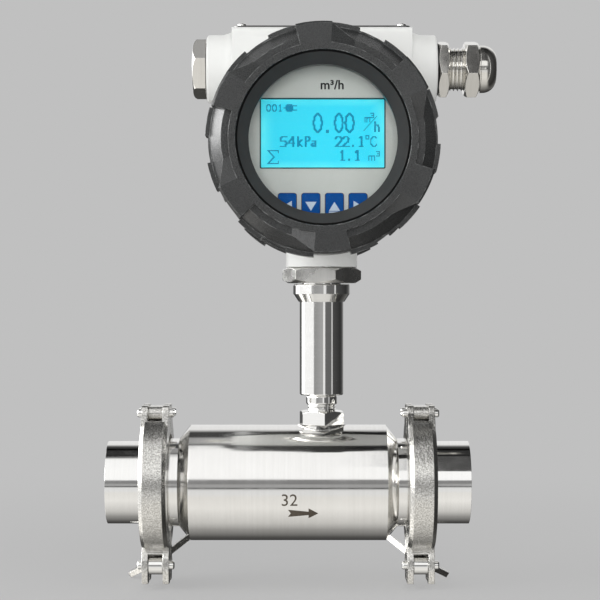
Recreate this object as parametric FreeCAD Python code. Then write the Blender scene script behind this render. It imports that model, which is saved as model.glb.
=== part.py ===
"""Sanitary turbine flow meter: clamp-end body, pickup stem and turning display head.

Frame: millimetres, origin at the centre of the inlet weld end on the pipe axis,
+X downstream, +Y towards the rear cover, +Z up. Each node is written to parts/NODE.step.
"""
import FreeCAD, Part
import math
import os
from FreeCAD import Vector

X, Y, Z = Vector(1, 0, 0), Vector(0, 1, 0), Vector(0, 0, 1)

# ------------------------------------------------------------------ fits
SEAT = 0.03             # radial clearance of parts that are fixed in each other
RUNNING = 0.05          # radial clearance of parts that turn or slide in each other
FACE_GAP = 0.05         # between flat faces of which one moves
OVERRUN = 1.0           # how far a cutting tool reaches past a face

# ------------------------------------------------------------------ pipe ends (clamp size DN 32)
TUBE_OD = 38.0
TUBE_ID = 35.0
FERRULE_LENGTH = 21.5
FLANGE_OD = 50.5
RIM = 2.85              # thickness of a flange at its rim
TAPER = 20.0            # degrees, back face of a flange
GROOVE_WIDTH = 3.2      # gasket groove
GROOVE_DEPTH = 1.0
GASKET = 1.6            # thickness between the flange faces

# ------------------------------------------------------------------ meter body
BODY_LENGTH = 120.0
NECK_WALL = 1.25        # how much thicker than the tube the neck is, radially
BARREL_R = 26.6
NECK_LENGTH = 9.9       # flange face to the foot of the shoulder
SHOULDER = 5.1          # axial length of the shoulder cone
CHAMBER_R = 16.0        # bore round the rotor
POCKET_STEP = 0.6       # how much wider the bore that holds a straightener is
ENTRY = 6.0             # length of the cone from the tube bore to the pocket bore
SENSOR_OFFSET = 15.4    # rotor and stem, downstream of the middle of the body

# ------------------------------------------------------------------ rotor and straighteners
ROTOR_WIDTH = 14.0
TIP_GAP = 0.5
HUB_R = 6.0
BLADES = 8
BLADE_THICKNESS = 1.3
BLADE_LEAD = 95.0       # axial advance of a blade in one full turn
SHAFT_R = 1.5
SHAFT_GRIP = 7.0        # length of the shaft in each hub
BUSH_WALL = 1.7
BUSH_LENGTH = 5.0
THRUST_GAP = 0.5        # rotor to the hub on each side
CHAMBER_MARGIN = 3.5    # rotor face to the shoulder that stops a straightener
RING_LENGTHS = {"inlet": 22.0, "outlet": 19.0}
RING_WALL = 1.15
VANES = 6
VANE_THICKNESS = 1.0
NOSE_LENGTH = 10.0
CLIP_THICKNESS = 1.2
CLIP_DEPTH = 0.8        # depth of the clip groove in the pocket bore
CLIP_WIDTH = 2.4
CLIP_OPENING = 50.0     # degrees
CLIP_LUG_R = 1.7

# ------------------------------------------------------------------ pickup sensor and stem
BOSS_R = 9.5
BOSS_PROUD = 0.3        # above the top of the barrel
BOSS_DEPTH = 6.4
WELD_LEG = 2.8
THREAD_R = 6.65
SENSOR_NUT_AF = 19.0
SENSOR_NUT_HEIGHT = 6.3
SENSOR_NUT_TURN = 7.0
SENSOR_TIP_R = 4.9
SENSOR_TIP_GAP = 2.2    # rotor chamber to the tip
SENSOR_WALL = 0.9
OPEN_THREAD = 2.8       # thread left open over the sensor's nut
COLLAR_R = 7.15
COLLAR_HEIGHT = 4.5
SENSOR_SPIGOT = 5.5     # length of the sensor's spigot in the stem
STEM_R = 10.1
STEM_LENGTH = 43.0
STEM_BORE_R = 7.5
STEM_CONE_R = (10.6, 12.9)
STEM_CONE_HEIGHT = 3.5
STEM_COLLAR_R = 13.1
STEM_COLLAR_HEIGHT = 4.5
NIPPLE_R = 9.0
NIPPLE_LENGTH = 24.0
HEAD_NUT_AF = 32.0
HEAD_NUT_GAP = 0.6      # thread left open under the nut
HEAD_NUT_HEIGHT = 7.3
HEAD_NUT_TURN = 19.4

# ------------------------------------------------------------------ head housing
COMPARTMENT_R = 38.5
SPIGOT_WALL = 4.5
SHELL_STEP = 3.0        # how far the shell stands out from a spigot
HOUSING_HALF_DEPTH = 31.7
SPIGOT_LENGTH = 7.9
PARTITION_DEPTH = 25.6  # end of the front spigot to the partition
PARTITION_THICKNESS = 3.0
HOUSING_NECK_R = 16.4
HOUSING_NECK_LENGTH = 8.75  # foot of the neck to the bottom of the round shell
BOX_INSET = 5.0         # from the side of the round shell to the side of the square top
BOX_RISE = 54.1         # top face over the cover axis
ENTRY_RISE = 36.8       # cable entries over the cover axis
ENTRY_BOSS_R = 15.75
ENTRY_BOSS_ROOT_R = 17.0
ENTRY_BOSS_LENGTH = 11.8
ENTRY_THREAD_R = 10.0
ENTRY_THREAD_LENGTH = 9.5
WIRE_HOLE_R = 4.0
PLATE_MARGIN = 0.85     # side of the housing to the edge of the top plate
PLATE_DEPTH = 44.0
PLATE_THICKNESS = 1.0
PLATE_SCREW_INSET = 3.2
PLATE_SCREW_R = 2.0
PLATE_SCREW_HEAD = 1.6
PLATE_SCREW_SHANK_R = 1.2
PLATE_SCREW_LENGTH = 5.0

# ------------------------------------------------------------------ covers
COVER_DEPTH = 28.0
COVER_GAP = 0.3         # skirt to the shell when screwed home
COVER_WALL = 7.1        # spigot to the outside of a cover
LAND_STEP = 0.9
EAR_HEIGHT = 1.3
FACE_WIDTH = 12.1       # outside of a cover to the inner edge of its flat face
LIP_R = 32.4            # clear radius of the window
LIP_DEPTH = 8.0
LIP_THICKNESS = 1.7
GLASS_OVERLAP = 3.4
GLASS_THICKNESS = 6.0
GLASS_GAP = 0.2
RETAINER_WIDTH = 2.9
SEAL_THICKNESS = 1.3
LANDS = 6
LAND_WIDTH = 18.5       # degrees
FIRST_LAND = 34.7       # degrees from +X, counter-clockwise seen from the front
FLOOR_INSETS = (9.1, 5.9)   # from the outside of a cover to the edges of a recess floor
FLOOR_DEPTH = 3.2
RIM_INSET = 0.7
RIM_DEPTH = 12.0
RAMP_RUN = 10.27
EAR_WIDTH = 14.0        # degrees
BLANK_DISH = 1.2
BLANK_THICKNESS = 4.0

# ------------------------------------------------------------------ display
FACEPLATE_DEPTH = 1.6   # end of the spigot to the face of the plate
FACEPLATE_THICKNESS = 1.5
LCD_VIEW = (57.0, 32.0)
LCD_BORDER = 1.5
LCD_THICKNESS = 6.1
LCD_RISE = 3.7          # centre of the display above the cover axis
BOARD_INSET = 2.5
BOARD_THICKNESS = 1.6
BOARD_SPACING = 8.4
POST_INSET = 4.8
POST_R = 2.5
STUD_R = 1.5
KEY_SIZE = (7.85, 9.0)
KEY_PITCH = 10.4
KEY_DROP = 22.9         # top of the keys under the cover axis
KEY_PROUD = 0.8
KEY_GAP = 0.15
KEY_FLANGE = (9.4, 9.6, 1.0)
KEY_TRAVEL = 0.5
SWITCH_SIZE = (6.0, 6.0, 2.9)
KEY_NAMES = ("key_left", "key_down", "key_up", "key_right")
TERMINALS = 6
TERMINAL_SIZE = (8.0, 14.0, 13.0)
TERMINAL_SCREW_R = 2.1
TERMINAL_WELL = 3.0

# ------------------------------------------------------------------ cable gland and plug
GLAND_AF = 24.0
GLAND_TURN = 14.5
GLAND_WASHER = 0.7
GLAND_HEX = 5.0
GLAND_THREAD = 7.1
GLAND_THREAD_PITCH = 1.5
GLAND_CAP_HEX = 6.7
GLAND_DOME = 8.0
GLAND_DOME_R = (10.9, 7.0)
GLAND_WALL = 2.4
GLAND_MOUTH_R = 5.5
GLAND_SEAL_R = 4.5
PLUG_HEX = 6.2
PLUG_WASHER = 0.4

# ------------------------------------------------------------------ clamps
CLAMP_WIDTH = 12.4
CLAMP_WALL = 6.05       # metal outside the groove
CLAMP_GRIP = 2.95       # how far the lips reach down a flange
CLAMP_ROOT_GAP = 0.7    # flange rim to the bottom of the groove
CLAMP_SPLIT = 1.0       # half the gap between the two halves
CLAMP_EDGE = 1.8
EAR_SLOT = 6.8
TOP_EAR_RISE = 4.0      # over the outside of the ring
HINGE_PIN_RISE = 0.3
HINGE_PIN_Y = 5.5
SWING_PIN_DROP = 5.5    # under the outside of the ring
SWING_PIN_Y = 6.0
BOTTOM_EAR_DROP = 13.8
PIN_R = 1.95
PIN_PROUD = 2.3
LINK_WALL = 1.15
LINK_GAP = 0.2
EYE_WALL = 2.3
EYE_WIDTH = 6.2
BOLT_R = 3.0
BOLT_REACH = 32.0
NUT_SWING_R = 17.0      # swing pin to the ear face under the nut
NUT_GAP = 0.3
NUT_R = 6.2
NUT_HEIGHT = 9.0
WING_SPAN = 18.0
WING_THICKNESS = 2.6
WING_TURN = 33.0        # degrees about the bolt, seen from the front

# ------------------------------------------------------------------ places and radii that follow
FLANGE_R = FLANGE_OD / 2
GROOVE_R = (TUBE_ID / 2 + FLANGE_R) / 2 + 0.425
NECK_R = TUBE_OD / 2 + NECK_WALL
POCKET_R = CHAMBER_R + POCKET_STEP
ROTOR_TIP_R = CHAMBER_R - TIP_GAP
BUSH_R = SHAFT_R + BUSH_WALL
BODY_X = FERRULE_LENGTH + GASKET
BODY_END_X = BODY_X + BODY_LENGTH
MIDDLE_X = BODY_X + BODY_LENGTH / 2
STEM_X = MIDDLE_X + SENSOR_OFFSET
CLAMP_X = FERRULE_LENGTH + GASKET / 2

BOSS_TOP_Z = BARREL_R + BOSS_PROUD
BOSS_FOOT_Z = BOSS_TOP_Z - BOSS_DEPTH
SENSOR_TIP_Z = CHAMBER_R + SENSOR_TIP_GAP
SENSOR_NUT_TOP_Z = BOSS_TOP_Z + SENSOR_NUT_HEIGHT
COLLAR_FOOT_Z = SENSOR_NUT_TOP_Z + OPEN_THREAD
STEM_FOOT_Z = COLLAR_FOOT_Z + COLLAR_HEIGHT
STEM_CONE_Z = STEM_FOOT_Z + STEM_LENGTH
STEM_COLLAR_Z = STEM_CONE_Z + STEM_CONE_HEIGHT
STEM_SHOULDER_Z = STEM_COLLAR_Z + STEM_COLLAR_HEIGHT
HEAD_NUT_Z = STEM_SHOULDER_Z + HEAD_NUT_GAP
NECK_FOOT_Z = HEAD_NUT_Z + HEAD_NUT_HEIGHT + FACE_GAP

SPIGOT_R = COMPARTMENT_R + SPIGOT_WALL
HOUSING_R = SPIGOT_R + SHELL_STEP
HEAD_Z = NECK_FOOT_Z + HOUSING_NECK_LENGTH + HOUSING_R
SPIGOT_END = HOUSING_HALF_DEPTH + SPIGOT_LENGTH
PARTITION_FRONT_Y = PARTITION_DEPTH - SPIGOT_END
PARTITION_BACK_Y = PARTITION_FRONT_Y + PARTITION_THICKNESS
BOX_HALF_WIDTH = HOUSING_R - BOX_INSET
BOX_TOP_Z = HEAD_Z + BOX_RISE
ENTRY_Z = HEAD_Z + ENTRY_RISE
ENTRY_REACH = BOX_HALF_WIDTH + ENTRY_BOSS_LENGTH
PLATE_WIDTH = 2 * (BOX_HALF_WIDTH - PLATE_MARGIN)
PLATE_SCREW_X = BOX_HALF_WIDTH - PLATE_SCREW_INSET

COVER_R = SPIGOT_R + COVER_WALL
LAND_R = COVER_R - LAND_STEP
EAR_R = COVER_R + EAR_HEIGHT
FACE_INNER_R = COVER_R - FACE_WIDTH
FLOOR_R = (COVER_R - FLOOR_INSETS[0], COVER_R - FLOOR_INSETS[1])
RIM_EDGE_R = COVER_R - RIM_INSET
GLASS_R = LIP_R + GLASS_OVERLAP
COVER_FACE_Y = HOUSING_HALF_DEPTH + COVER_GAP + COVER_DEPTH
SHOULDER_DEPTH = COVER_FACE_Y - SPIGOT_END - SEAL_THICKNESS - 2 * FACE_GAP
SKIRT_R = SPIGOT_R + RUNNING + SEAT
GLASS_SEAT_DEPTH = LIP_DEPTH + LIP_THICKNESS
GLASS_BACK_DEPTH = GLASS_SEAT_DEPTH + GLASS_GAP + GLASS_THICKNESS

FACEPLATE_Y = FACEPLATE_DEPTH - SPIGOT_END
FACEPLATE_BACK_Y = FACEPLATE_Y + FACEPLATE_THICKNESS
DISPLAY_BOARD_Y = FACEPLATE_BACK_Y + LCD_THICKNESS
MAIN_BOARD_Y = DISPLAY_BOARD_Y + BOARD_SPACING
LCD_BODY = (LCD_VIEW[0] + 2 * LCD_BORDER, LCD_VIEW[1] + 2 * LCD_BORDER)
POST_CIRCLE_R = COMPARTMENT_R - POST_INSET

GLAND_BORE_R = ENTRY_THREAD_R - GLAND_WALL
GLAND_THREAD_X = GLAND_WASHER + GLAND_HEX
GLAND_CAP_X = GLAND_THREAD_X + GLAND_THREAD
GLAND_CROWN_X = GLAND_CAP_X + GLAND_CAP_HEX
GLAND_END_X = GLAND_CROWN_X + GLAND_DOME

CLAMP_ROOT_R = FLANGE_R + CLAMP_ROOT_GAP
CLAMP_R = CLAMP_ROOT_R + CLAMP_WALL
CLAMP_LIP_R = FLANGE_R - CLAMP_GRIP
TOP_EAR_Z = CLAMP_R + TOP_EAR_RISE
HINGE_PIN_Z = CLAMP_R + HINGE_PIN_RISE
LINK_R = PIN_R + LINK_WALL
TOP_SLOT_Z = HINGE_PIN_Z - LINK_R - LINK_GAP
BOTTOM_EAR_Z = -CLAMP_R - BOTTOM_EAR_DROP
BOTTOM_SLOT_Z = -CLAMP_R
SWING_PIN_Z = -CLAMP_R - SWING_PIN_DROP
EYE_R = PIN_R + EYE_WALL


# ================================================================== helpers
def wire_of(outline, place):
    """Closed wire through 2-D points; an item that holds two points is an arc through the first."""
    edges = []
    last = outline[0]
    for item in list(outline[1:]) + [outline[0]]:
        if isinstance(item[0], tuple):
            middle, end = item
            edges.append(Part.Arc(place(last), place(middle), place(end)).toShape())
        else:
            end = item
            edges.append(Part.LineSegment(place(last), place(end)).toShape())
        last = end
    return Part.Wire(edges)


def across(axis):
    """A direction square to a main axis: X gives Y, Y gives Z, Z gives X."""
    return Vector(axis.z, axis.x, axis.y)


def sound(shape):
    """The shape with its faces pointing outwards and its split faces merged."""
    if shape.Volume < 0:
        shape.reverse()
    return shape.removeSplitter()


def turned(outline, origin, axis, angle=360.0, radial=None):
    """Solid of revolution of an outline of (distance along the axis, radius)."""
    side = radial if radial is not None else across(axis)
    wire = wire_of(outline, lambda p: origin + axis * p[0] + side * p[1])
    return sound(Part.Face(wire).revolve(origin, axis, angle))


def extruded(outline, origin, right, up, depth):
    """Prism of an outline in the plane of two directions, along the vector depth."""
    wire = wire_of(outline, lambda p: origin + right * p[0] + up * p[1])
    return sound(Part.Face(wire).extrude(depth))


def rod(radius, start, end):
    """Plain cylinder between two points."""
    return Part.makeCylinder(radius, (end - start).Length, start, end - start)


def block(low, high):
    """Box between two corners."""
    return Part.makeBox(high.x - low.x, high.y - low.y, high.z - low.z, low)


def hexagon(across_flats, origin, axis, height, turn):
    """Hexagonal prism; one corner lies at the angle turn from across(axis)."""
    right = across(axis)
    up = axis.cross(right)
    corner = across_flats / math.sqrt(3)
    points = [(corner * math.cos(math.radians(turn + 60 * k)), corner * math.sin(math.radians(turn + 60 * k)))
              for k in range(6)]
    return extruded(points, origin, right, up, axis * height)


def hex_nut(across_flats, origin, axis, height, turn, low=True, high=True):
    """Hexagonal prism with its corners turned down at 30 degrees on the chosen ends."""
    corner = across_flats / math.sqrt(3)
    face = across_flats / 2 * 0.97
    drop = (corner - face) * math.tan(math.radians(30))
    outline = [(0, 0), (0, face if low else corner + OVERRUN)]
    if low:
        outline += [(drop, corner), (drop, corner + OVERRUN)]
    if high:
        outline += [(height - drop, corner + OVERRUN), (height - drop, corner)]
    outline += [(height, face if high else corner + OVERRUN), (height, 0)]
    return hexagon(across_flats, origin, axis, height, turn).common(turned(outline, origin, axis))


def rounded(shape, radius, chosen):
    """The shape with a fillet on every edge for which chosen(edge) is true."""
    return shape.makeFillet(radius, [edge for edge in shape.Edges if chosen(edge)])


def along(edge, axis):
    """True for a straight edge parallel to an axis."""
    line = edge.Curve
    return isinstance(line, Part.Line) and abs(abs(line.Direction.dot(axis)) - 1) < 1e-6


def mirrored_x(shape):
    """The shape mirrored to the other end of the meter body."""
    return shape.mirror(Vector(MIDDLE_X, 0, 0), X)


# ================================================================== pipe ends
def flange_foot(neck_r):
    """Axial distance from a flange face to where its taper meets the neck."""
    return RIM + (FLANGE_R - neck_r) * math.tan(math.radians(TAPER))


def groove_outline(face_x, side):
    """Points of the gasket groove in a flange face, from the outside in; side is where the metal lies."""
    half, foot = GROOVE_WIDTH / 2, GROOVE_WIDTH / 2 - 0.6
    return [(face_x, GROOVE_R + half), (face_x + side * GROOVE_DEPTH, GROOVE_R + foot),
            (face_x + side * GROOVE_DEPTH, GROOVE_R - foot), (face_x, GROOVE_R - half)]


def weld_ferrule():
    """Inlet weld ferrule: plain tube end and clamp flange."""
    outline = [(0, TUBE_ID / 2), (0, TUBE_OD / 2),
               (FERRULE_LENGTH - flange_foot(TUBE_OD / 2), TUBE_OD / 2),
               (FERRULE_LENGTH - RIM, FLANGE_R), (FERRULE_LENGTH, FLANGE_R)]
    outline += groove_outline(FERRULE_LENGTH, -1)
    outline += [(FERRULE_LENGTH, TUBE_ID / 2)]
    return turned(outline, Vector(0, 0, 0), X)


def clamp_gasket():
    """Clamp gasket: flat ring with a bead on each side that lies in the flange grooves."""
    bead = GROOVE_WIDTH / 2 - 2 * SEAT
    foot = bead - 0.6
    height = GROOVE_DEPTH - 2 * SEAT
    near, far = FERRULE_LENGTH, FERRULE_LENGTH + GASKET
    outline = [(near, TUBE_ID / 2), (near, GROOVE_R - bead), (near - height, GROOVE_R - foot),
               (near - height, GROOVE_R + foot), (near, GROOVE_R + bead), (near, FLANGE_R),
               (far, FLANGE_R), (far, GROOVE_R + bead), (far + height, GROOVE_R + foot),
               (far + height, GROOVE_R - foot), (far, GROOVE_R - bead), (far, TUBE_ID / 2)]
    return turned(outline, Vector(0, 0, 0), X)


# ================================================================== meter body
def stop_x(end):
    """Place of the shoulder that stops a straightener in its pocket."""
    side = -1 if end == "inlet" else 1
    return STEM_X + side * (ROTOR_WIDTH / 2 + CHAMBER_MARGIN)


def clip_x(end):
    """Place of the clip face that touches a straightener."""
    side = -1 if end == "inlet" else 1
    return stop_x(end) + side * RING_LENGTHS[end]


def bore_outline(end):
    """Bore points of one end, from the flange face to the rotor chamber."""
    face, inward = (BODY_X, 1) if end == "inlet" else (BODY_END_X, -1)
    clip = clip_x(end)
    width = CLIP_THICKNESS + 2 * SEAT
    return [(face, TUBE_ID / 2), (face + inward * ENTRY, POCKET_R), (clip - inward * width, POCKET_R),
            (clip - inward * width, POCKET_R + CLIP_DEPTH), (clip, POCKET_R + CLIP_DEPTH), (clip, POCKET_R),
            (stop_x(end), POCKET_R), (stop_x(end), CHAMBER_R)]


def meter_body():
    """Turned body with a clamp flange at each end, the stepped bore and the seat of the sensor boss."""
    foot = flange_foot(NECK_R)
    outline = groove_outline(BODY_X, 1)[::-1]
    outline += [(BODY_X, FLANGE_R), (BODY_X + RIM, FLANGE_R), (BODY_X + foot, NECK_R),
                (BODY_X + NECK_LENGTH, NECK_R), (BODY_X + NECK_LENGTH + SHOULDER, BARREL_R),
                (BODY_END_X - NECK_LENGTH - SHOULDER, BARREL_R), (BODY_END_X - NECK_LENGTH, NECK_R),
                (BODY_END_X - foot, NECK_R), (BODY_END_X - RIM, FLANGE_R), (BODY_END_X, FLANGE_R)]
    outline += groove_outline(BODY_END_X, -1)
    outline += bore_outline("outlet") + bore_outline("inlet")[::-1]
    body = turned(outline, Vector(0, 0, 0), X)
    weld_r = BOSS_R + WELD_LEG
    weld_foot = math.sqrt(BARREL_R ** 2 - weld_r ** 2) - OVERRUN
    weld = turned([(weld_foot, 0), (weld_foot, weld_r), (BOSS_TOP_Z - 0.4, BOSS_R + 0.2), (BOSS_TOP_Z - 0.4, 0)],
                  Vector(STEM_X, 0, 0), Z)
    seat = rod(BOSS_R, Vector(STEM_X, 0, BOSS_FOOT_Z), Vector(STEM_X, 0, BOSS_TOP_Z + OVERRUN))
    blind = rod(SENSOR_TIP_R + RUNNING, Vector(STEM_X, 0, SENSOR_TIP_Z - SEAT), Vector(STEM_X, 0, BOSS_FOOT_Z))
    chamber = rod(CHAMBER_R, Vector(stop_x("inlet"), 0, 0), Vector(stop_x("outlet"), 0, 0))
    return sound(body.fuse(weld.cut(chamber)).cut(seat.fuse(blind)))


def sensor_boss():
    """Welded boss with the thread of the pickup sensor."""
    outline = [(BOSS_FOOT_Z, THREAD_R + SEAT), (BOSS_FOOT_Z, BOSS_R - SEAT), (BOSS_TOP_Z - 0.5, BOSS_R - SEAT),
               (BOSS_TOP_Z, BOSS_R - 0.5), (BOSS_TOP_Z, THREAD_R + SEAT)]
    return turned(outline, Vector(STEM_X, 0, 0), Z)


# ================================================================== rotor and straighteners
def blade(angle):
    """One helical blade, lofted through three flat sections square to its radius."""
    sections = []
    for radius in (HUB_R - 0.8, (HUB_R + ROTOR_TIP_R) / 2, ROTOR_TIP_R + 0.6):
        lean = math.atan(2 * math.pi * radius / BLADE_LEAD)
        half = ROTOR_WIDTH / 2 / math.cos(lean) - 0.6
        along_blade = Vector(math.cos(lean), math.sin(lean), 0)
        square = Vector(-math.sin(lean), math.cos(lean), 0)
        corners = [(-half, -BLADE_THICKNESS / 4), (-half + 2, -BLADE_THICKNESS / 2), (half, -BLADE_THICKNESS / 2),
                   (half, BLADE_THICKNESS / 4), (half - 2, BLADE_THICKNESS / 2), (-half, BLADE_THICKNESS / 2)]
        sections.append(wire_of(corners, lambda p: Vector(STEM_X, 0, radius) + along_blade * p[0] + square * p[1]))
    solid = Part.makeLoft(sections, True, False)
    solid.rotate(Vector(0, 0, 0), X, angle)
    return solid if solid.Volume > 0 else solid.reversed()


def rotor():
    """Rotor: hub with helical blades, trimmed to its width and to a round tip."""
    start, end = STEM_X - ROTOR_WIDTH / 2, STEM_X + ROTOR_WIDTH / 2
    hub = turned([(start, 0), (start, HUB_R - 0.4), (start + 0.4, HUB_R), (end - 0.4, HUB_R),
                  (end, HUB_R - 0.4), (end, 0)], Vector(0, 0, 0), X)
    envelope = rod(ROTOR_TIP_R, Vector(start, 0, 0), Vector(end, 0, 0))
    blades = [blade(360 / BLADES * k).common(envelope) for k in range(BLADES)]
    bore = rod(BUSH_R, Vector(start - OVERRUN, 0, 0), Vector(end + OVERRUN, 0, 0))
    return sound(hub.multiFuse(blades).cut(bore))


def rotor_bearings():
    """Two plain bushes in the rotor."""
    bushes = []
    for start in (STEM_X - ROTOR_WIDTH / 2, STEM_X + ROTOR_WIDTH / 2 - BUSH_LENGTH):
        outline = [(start, SHAFT_R + RUNNING), (start, BUSH_R - SEAT), (start + BUSH_LENGTH, BUSH_R - SEAT),
                   (start + BUSH_LENGTH, SHAFT_R + RUNNING)]
        bushes.append(turned(outline, Vector(0, 0, 0), X))
    return Part.makeCompound(bushes)


def shaft_ends():
    """X of the two ends of the fixed rotor shaft, each held in a straightener hub."""
    reach = ROTOR_WIDTH / 2 + THRUST_GAP + SHAFT_GRIP
    return STEM_X - reach, STEM_X + reach


def rotor_shaft():
    """Fixed shaft with chamfered ends."""
    start, end = shaft_ends()
    outline = [(start, 0), (start, SHAFT_R - 0.3), (start + 0.3, SHAFT_R), (end - 0.3, SHAFT_R),
               (end, SHAFT_R - 0.3), (end, 0)]
    return turned(outline, Vector(0, 0, 0), X)


def straightener(end):
    """Flow straightener: outer ring, radial vanes and a streamlined hub that carries the shaft."""
    side = -1 if end == "inlet" else 1
    near = STEM_X + side * (ROTOR_WIDTH / 2 + THRUST_GAP)
    stop, clip = stop_x(end), clip_x(end)
    nose = clip + side * NOSE_LENGTH
    blunt = 0.7071
    hub = turned([(near, 0), (near, HUB_R), (clip, HUB_R),
                  ((clip + side * NOSE_LENGTH * blunt, HUB_R * blunt), (nose, 0))], Vector(0, 0, 0), X)
    ring = turned([(stop, POCKET_R - SEAT - RING_WALL), (stop, POCKET_R - SEAT), (clip, POCKET_R - SEAT),
                   (clip, POCKET_R - SEAT - RING_WALL)], Vector(0, 0, 0), X)
    vanes = []
    for k in range(VANES):
        vane = block(Vector(min(stop, clip), -VANE_THICKNESS / 2, HUB_R - 0.8),
                     Vector(max(stop, clip), VANE_THICKNESS / 2, POCKET_R - SEAT - RING_WALL / 2))
        vane.rotate(Vector(0, 0, 0), X, 360 / VANES * k)
        vanes.append(vane)
    shaft_end = shaft_ends()[0] if end == "inlet" else shaft_ends()[1]
    bore = rod(SHAFT_R + SEAT, Vector(near - side * OVERRUN, 0, 0), Vector(shaft_end + side * SEAT, 0, 0))
    return sound(ring.multiFuse(vanes + [hub]).cut(bore))


def retaining_clip(end):
    """Open spring ring in the groove behind a straightener, with a hole in each lug."""
    side = -1 if end == "inlet" else 1
    start = Vector(clip_x(end), 0, 0)
    thickness = X * side * CLIP_THICKNESS
    outer = POCKET_R + CLIP_DEPTH - SEAT
    ring = rod(outer, start, start + thickness).cut(rod(outer - CLIP_WIDTH, start - X * OVERRUN * side,
                                                        start + thickness + X * OVERRUN * side))
    half = math.radians(CLIP_OPENING / 2)
    reach = outer * 1.5
    gap = extruded([(0, 0), (-reach * math.sin(half), -reach * math.cos(half)),
                    (reach * math.sin(half), -reach * math.cos(half))],
                   start - X * OVERRUN * side, Y, Z, X * side * (CLIP_THICKNESS + 2 * OVERRUN))
    clip = ring.cut(gap)
    lug_angle = half + math.radians(9)
    middle = outer - CLIP_LUG_R
    for sign in (-1, 1):
        place = start + Y * sign * middle * math.sin(lug_angle) - Z * middle * math.cos(lug_angle)
        lug = rod(CLIP_LUG_R, place, place + thickness)
        hole = rod(CLIP_LUG_R / 2, place - X * OVERRUN * side, place + thickness + X * OVERRUN * side)
        clip = clip.fuse(lug).cut(hole)
    return sound(clip)


# ================================================================== pickup sensor and stem
def thread_outline(start, end, radius, pitch, depth):
    """Ridges of a short visible thread between two places on an axis."""
    turns = max(1, int((end - start) / pitch))
    step = (end - start) / turns
    points = []
    for k in range(turns):
        foot = start + k * step
        points += [(foot + 0.2 * step, radius - depth), (foot + 0.5 * step, radius), (foot + 0.8 * step, radius - depth)]
    return points


def pickup_sensor():
    """Pickup sensor: thin tip over the rotor, threaded shank, collar and a hollow for the coil."""
    tip = SENSOR_TIP_Z
    step = BOSS_FOOT_Z + 0.3
    spigot_r, spigot_top = THREAD_R - 0.3, STEM_FOOT_Z + SENSOR_SPIGOT
    cavity_r = SENSOR_TIP_R - SENSOR_WALL
    bulge = COLLAR_R - 0.9
    outline = [(tip, 0), (tip, SENSOR_TIP_R), (step, SENSOR_TIP_R), (step, THREAD_R), (SENSOR_NUT_TOP_Z, THREAD_R)]
    outline += thread_outline(SENSOR_NUT_TOP_Z, COLLAR_FOOT_Z, THREAD_R, 1.0, 0.4)
    outline += [(COLLAR_FOOT_Z, bulge), ((COLLAR_FOOT_Z + 0.3, COLLAR_R - 0.3), (COLLAR_FOOT_Z + 1.0, COLLAR_R)),
                (STEM_FOOT_Z - 1.0, COLLAR_R), ((STEM_FOOT_Z - 0.3, COLLAR_R - 0.3), (STEM_FOOT_Z, bulge)),
                (STEM_FOOT_Z, spigot_r), (spigot_top, spigot_r), (spigot_top, cavity_r),
                (tip + SENSOR_WALL, cavity_r), (tip + SENSOR_WALL, 0)]
    return turned(outline, Vector(STEM_X, 0, 0), Z)


def pickup_coil():
    """Coil on its bobbin, and the pole piece in it."""
    foot = SENSOR_TIP_Z + SENSOR_WALL
    radius = SENSOR_TIP_R - SENSOR_WALL - SEAT
    origin = Vector(STEM_X, 0, foot)
    coil = turned([(0, 1.5), (0, radius), (1, radius), (1, radius - 0.6), (10, radius - 0.6), (10, radius),
                   (11, radius), (11, 1.5)], origin, Z)
    pole = rod(1.5 - SEAT, origin, origin + Z * 16)
    return Part.makeCompound([coil, pole])


def sensor_lock_nut():
    """Nut that locks the sensor in its boss."""
    origin = Vector(STEM_X, 0, BOSS_TOP_Z)
    nut = hex_nut(SENSOR_NUT_AF, origin, Z, SENSOR_NUT_HEIGHT, SENSOR_NUT_TURN + 30, low=False)
    return sound(nut.cut(rod(THREAD_R + SEAT, origin - Z * OVERRUN, origin + Z * (SENSOR_NUT_HEIGHT + OVERRUN))))


def stem_tube():
    """Stem: tube, cone and collar, with the threaded nipple that carries the head."""
    spigot_r, spigot_top = THREAD_R - 0.3 + SEAT, STEM_FOOT_Z + SENSOR_SPIGOT + SEAT
    top = STEM_SHOULDER_Z + NIPPLE_LENGTH
    outline = [(STEM_FOOT_Z, spigot_r), (STEM_FOOT_Z, STEM_R - 0.5), (STEM_FOOT_Z + 0.5, STEM_R),
               (STEM_CONE_Z, STEM_R), (STEM_CONE_Z, STEM_CONE_R[0]), (STEM_COLLAR_Z, STEM_CONE_R[1]),
               (STEM_COLLAR_Z, STEM_COLLAR_R), (STEM_SHOULDER_Z - 0.4, STEM_COLLAR_R),
               (STEM_SHOULDER_Z, STEM_COLLAR_R - 0.4), (STEM_SHOULDER_Z, NIPPLE_R), (top - 0.6, NIPPLE_R),
               (top, NIPPLE_R - 0.6), (top, STEM_BORE_R), (spigot_top, STEM_BORE_R), (spigot_top, spigot_r)]
    return turned(outline, Vector(STEM_X, 0, 0), Z)


def head_lock_nut():
    """Large nut on the nipple, under the neck of the housing."""
    origin = Vector(STEM_X, 0, HEAD_NUT_Z)
    nut = hex_nut(HEAD_NUT_AF, origin, Z, HEAD_NUT_HEIGHT, HEAD_NUT_TURN + 30)
    return sound(nut.cut(rod(NIPPLE_R + SEAT, origin - Z * OVERRUN, origin + Z * (HEAD_NUT_HEIGHT + OVERRUN))))


# ================================================================== head housing
def head_point(x=0.0, y=0.0, z=0.0):
    """Point given from the head axis: x to the right, y to the back, z up from the cover axis."""
    return Vector(STEM_X + x, y, HEAD_Z + z)


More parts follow.
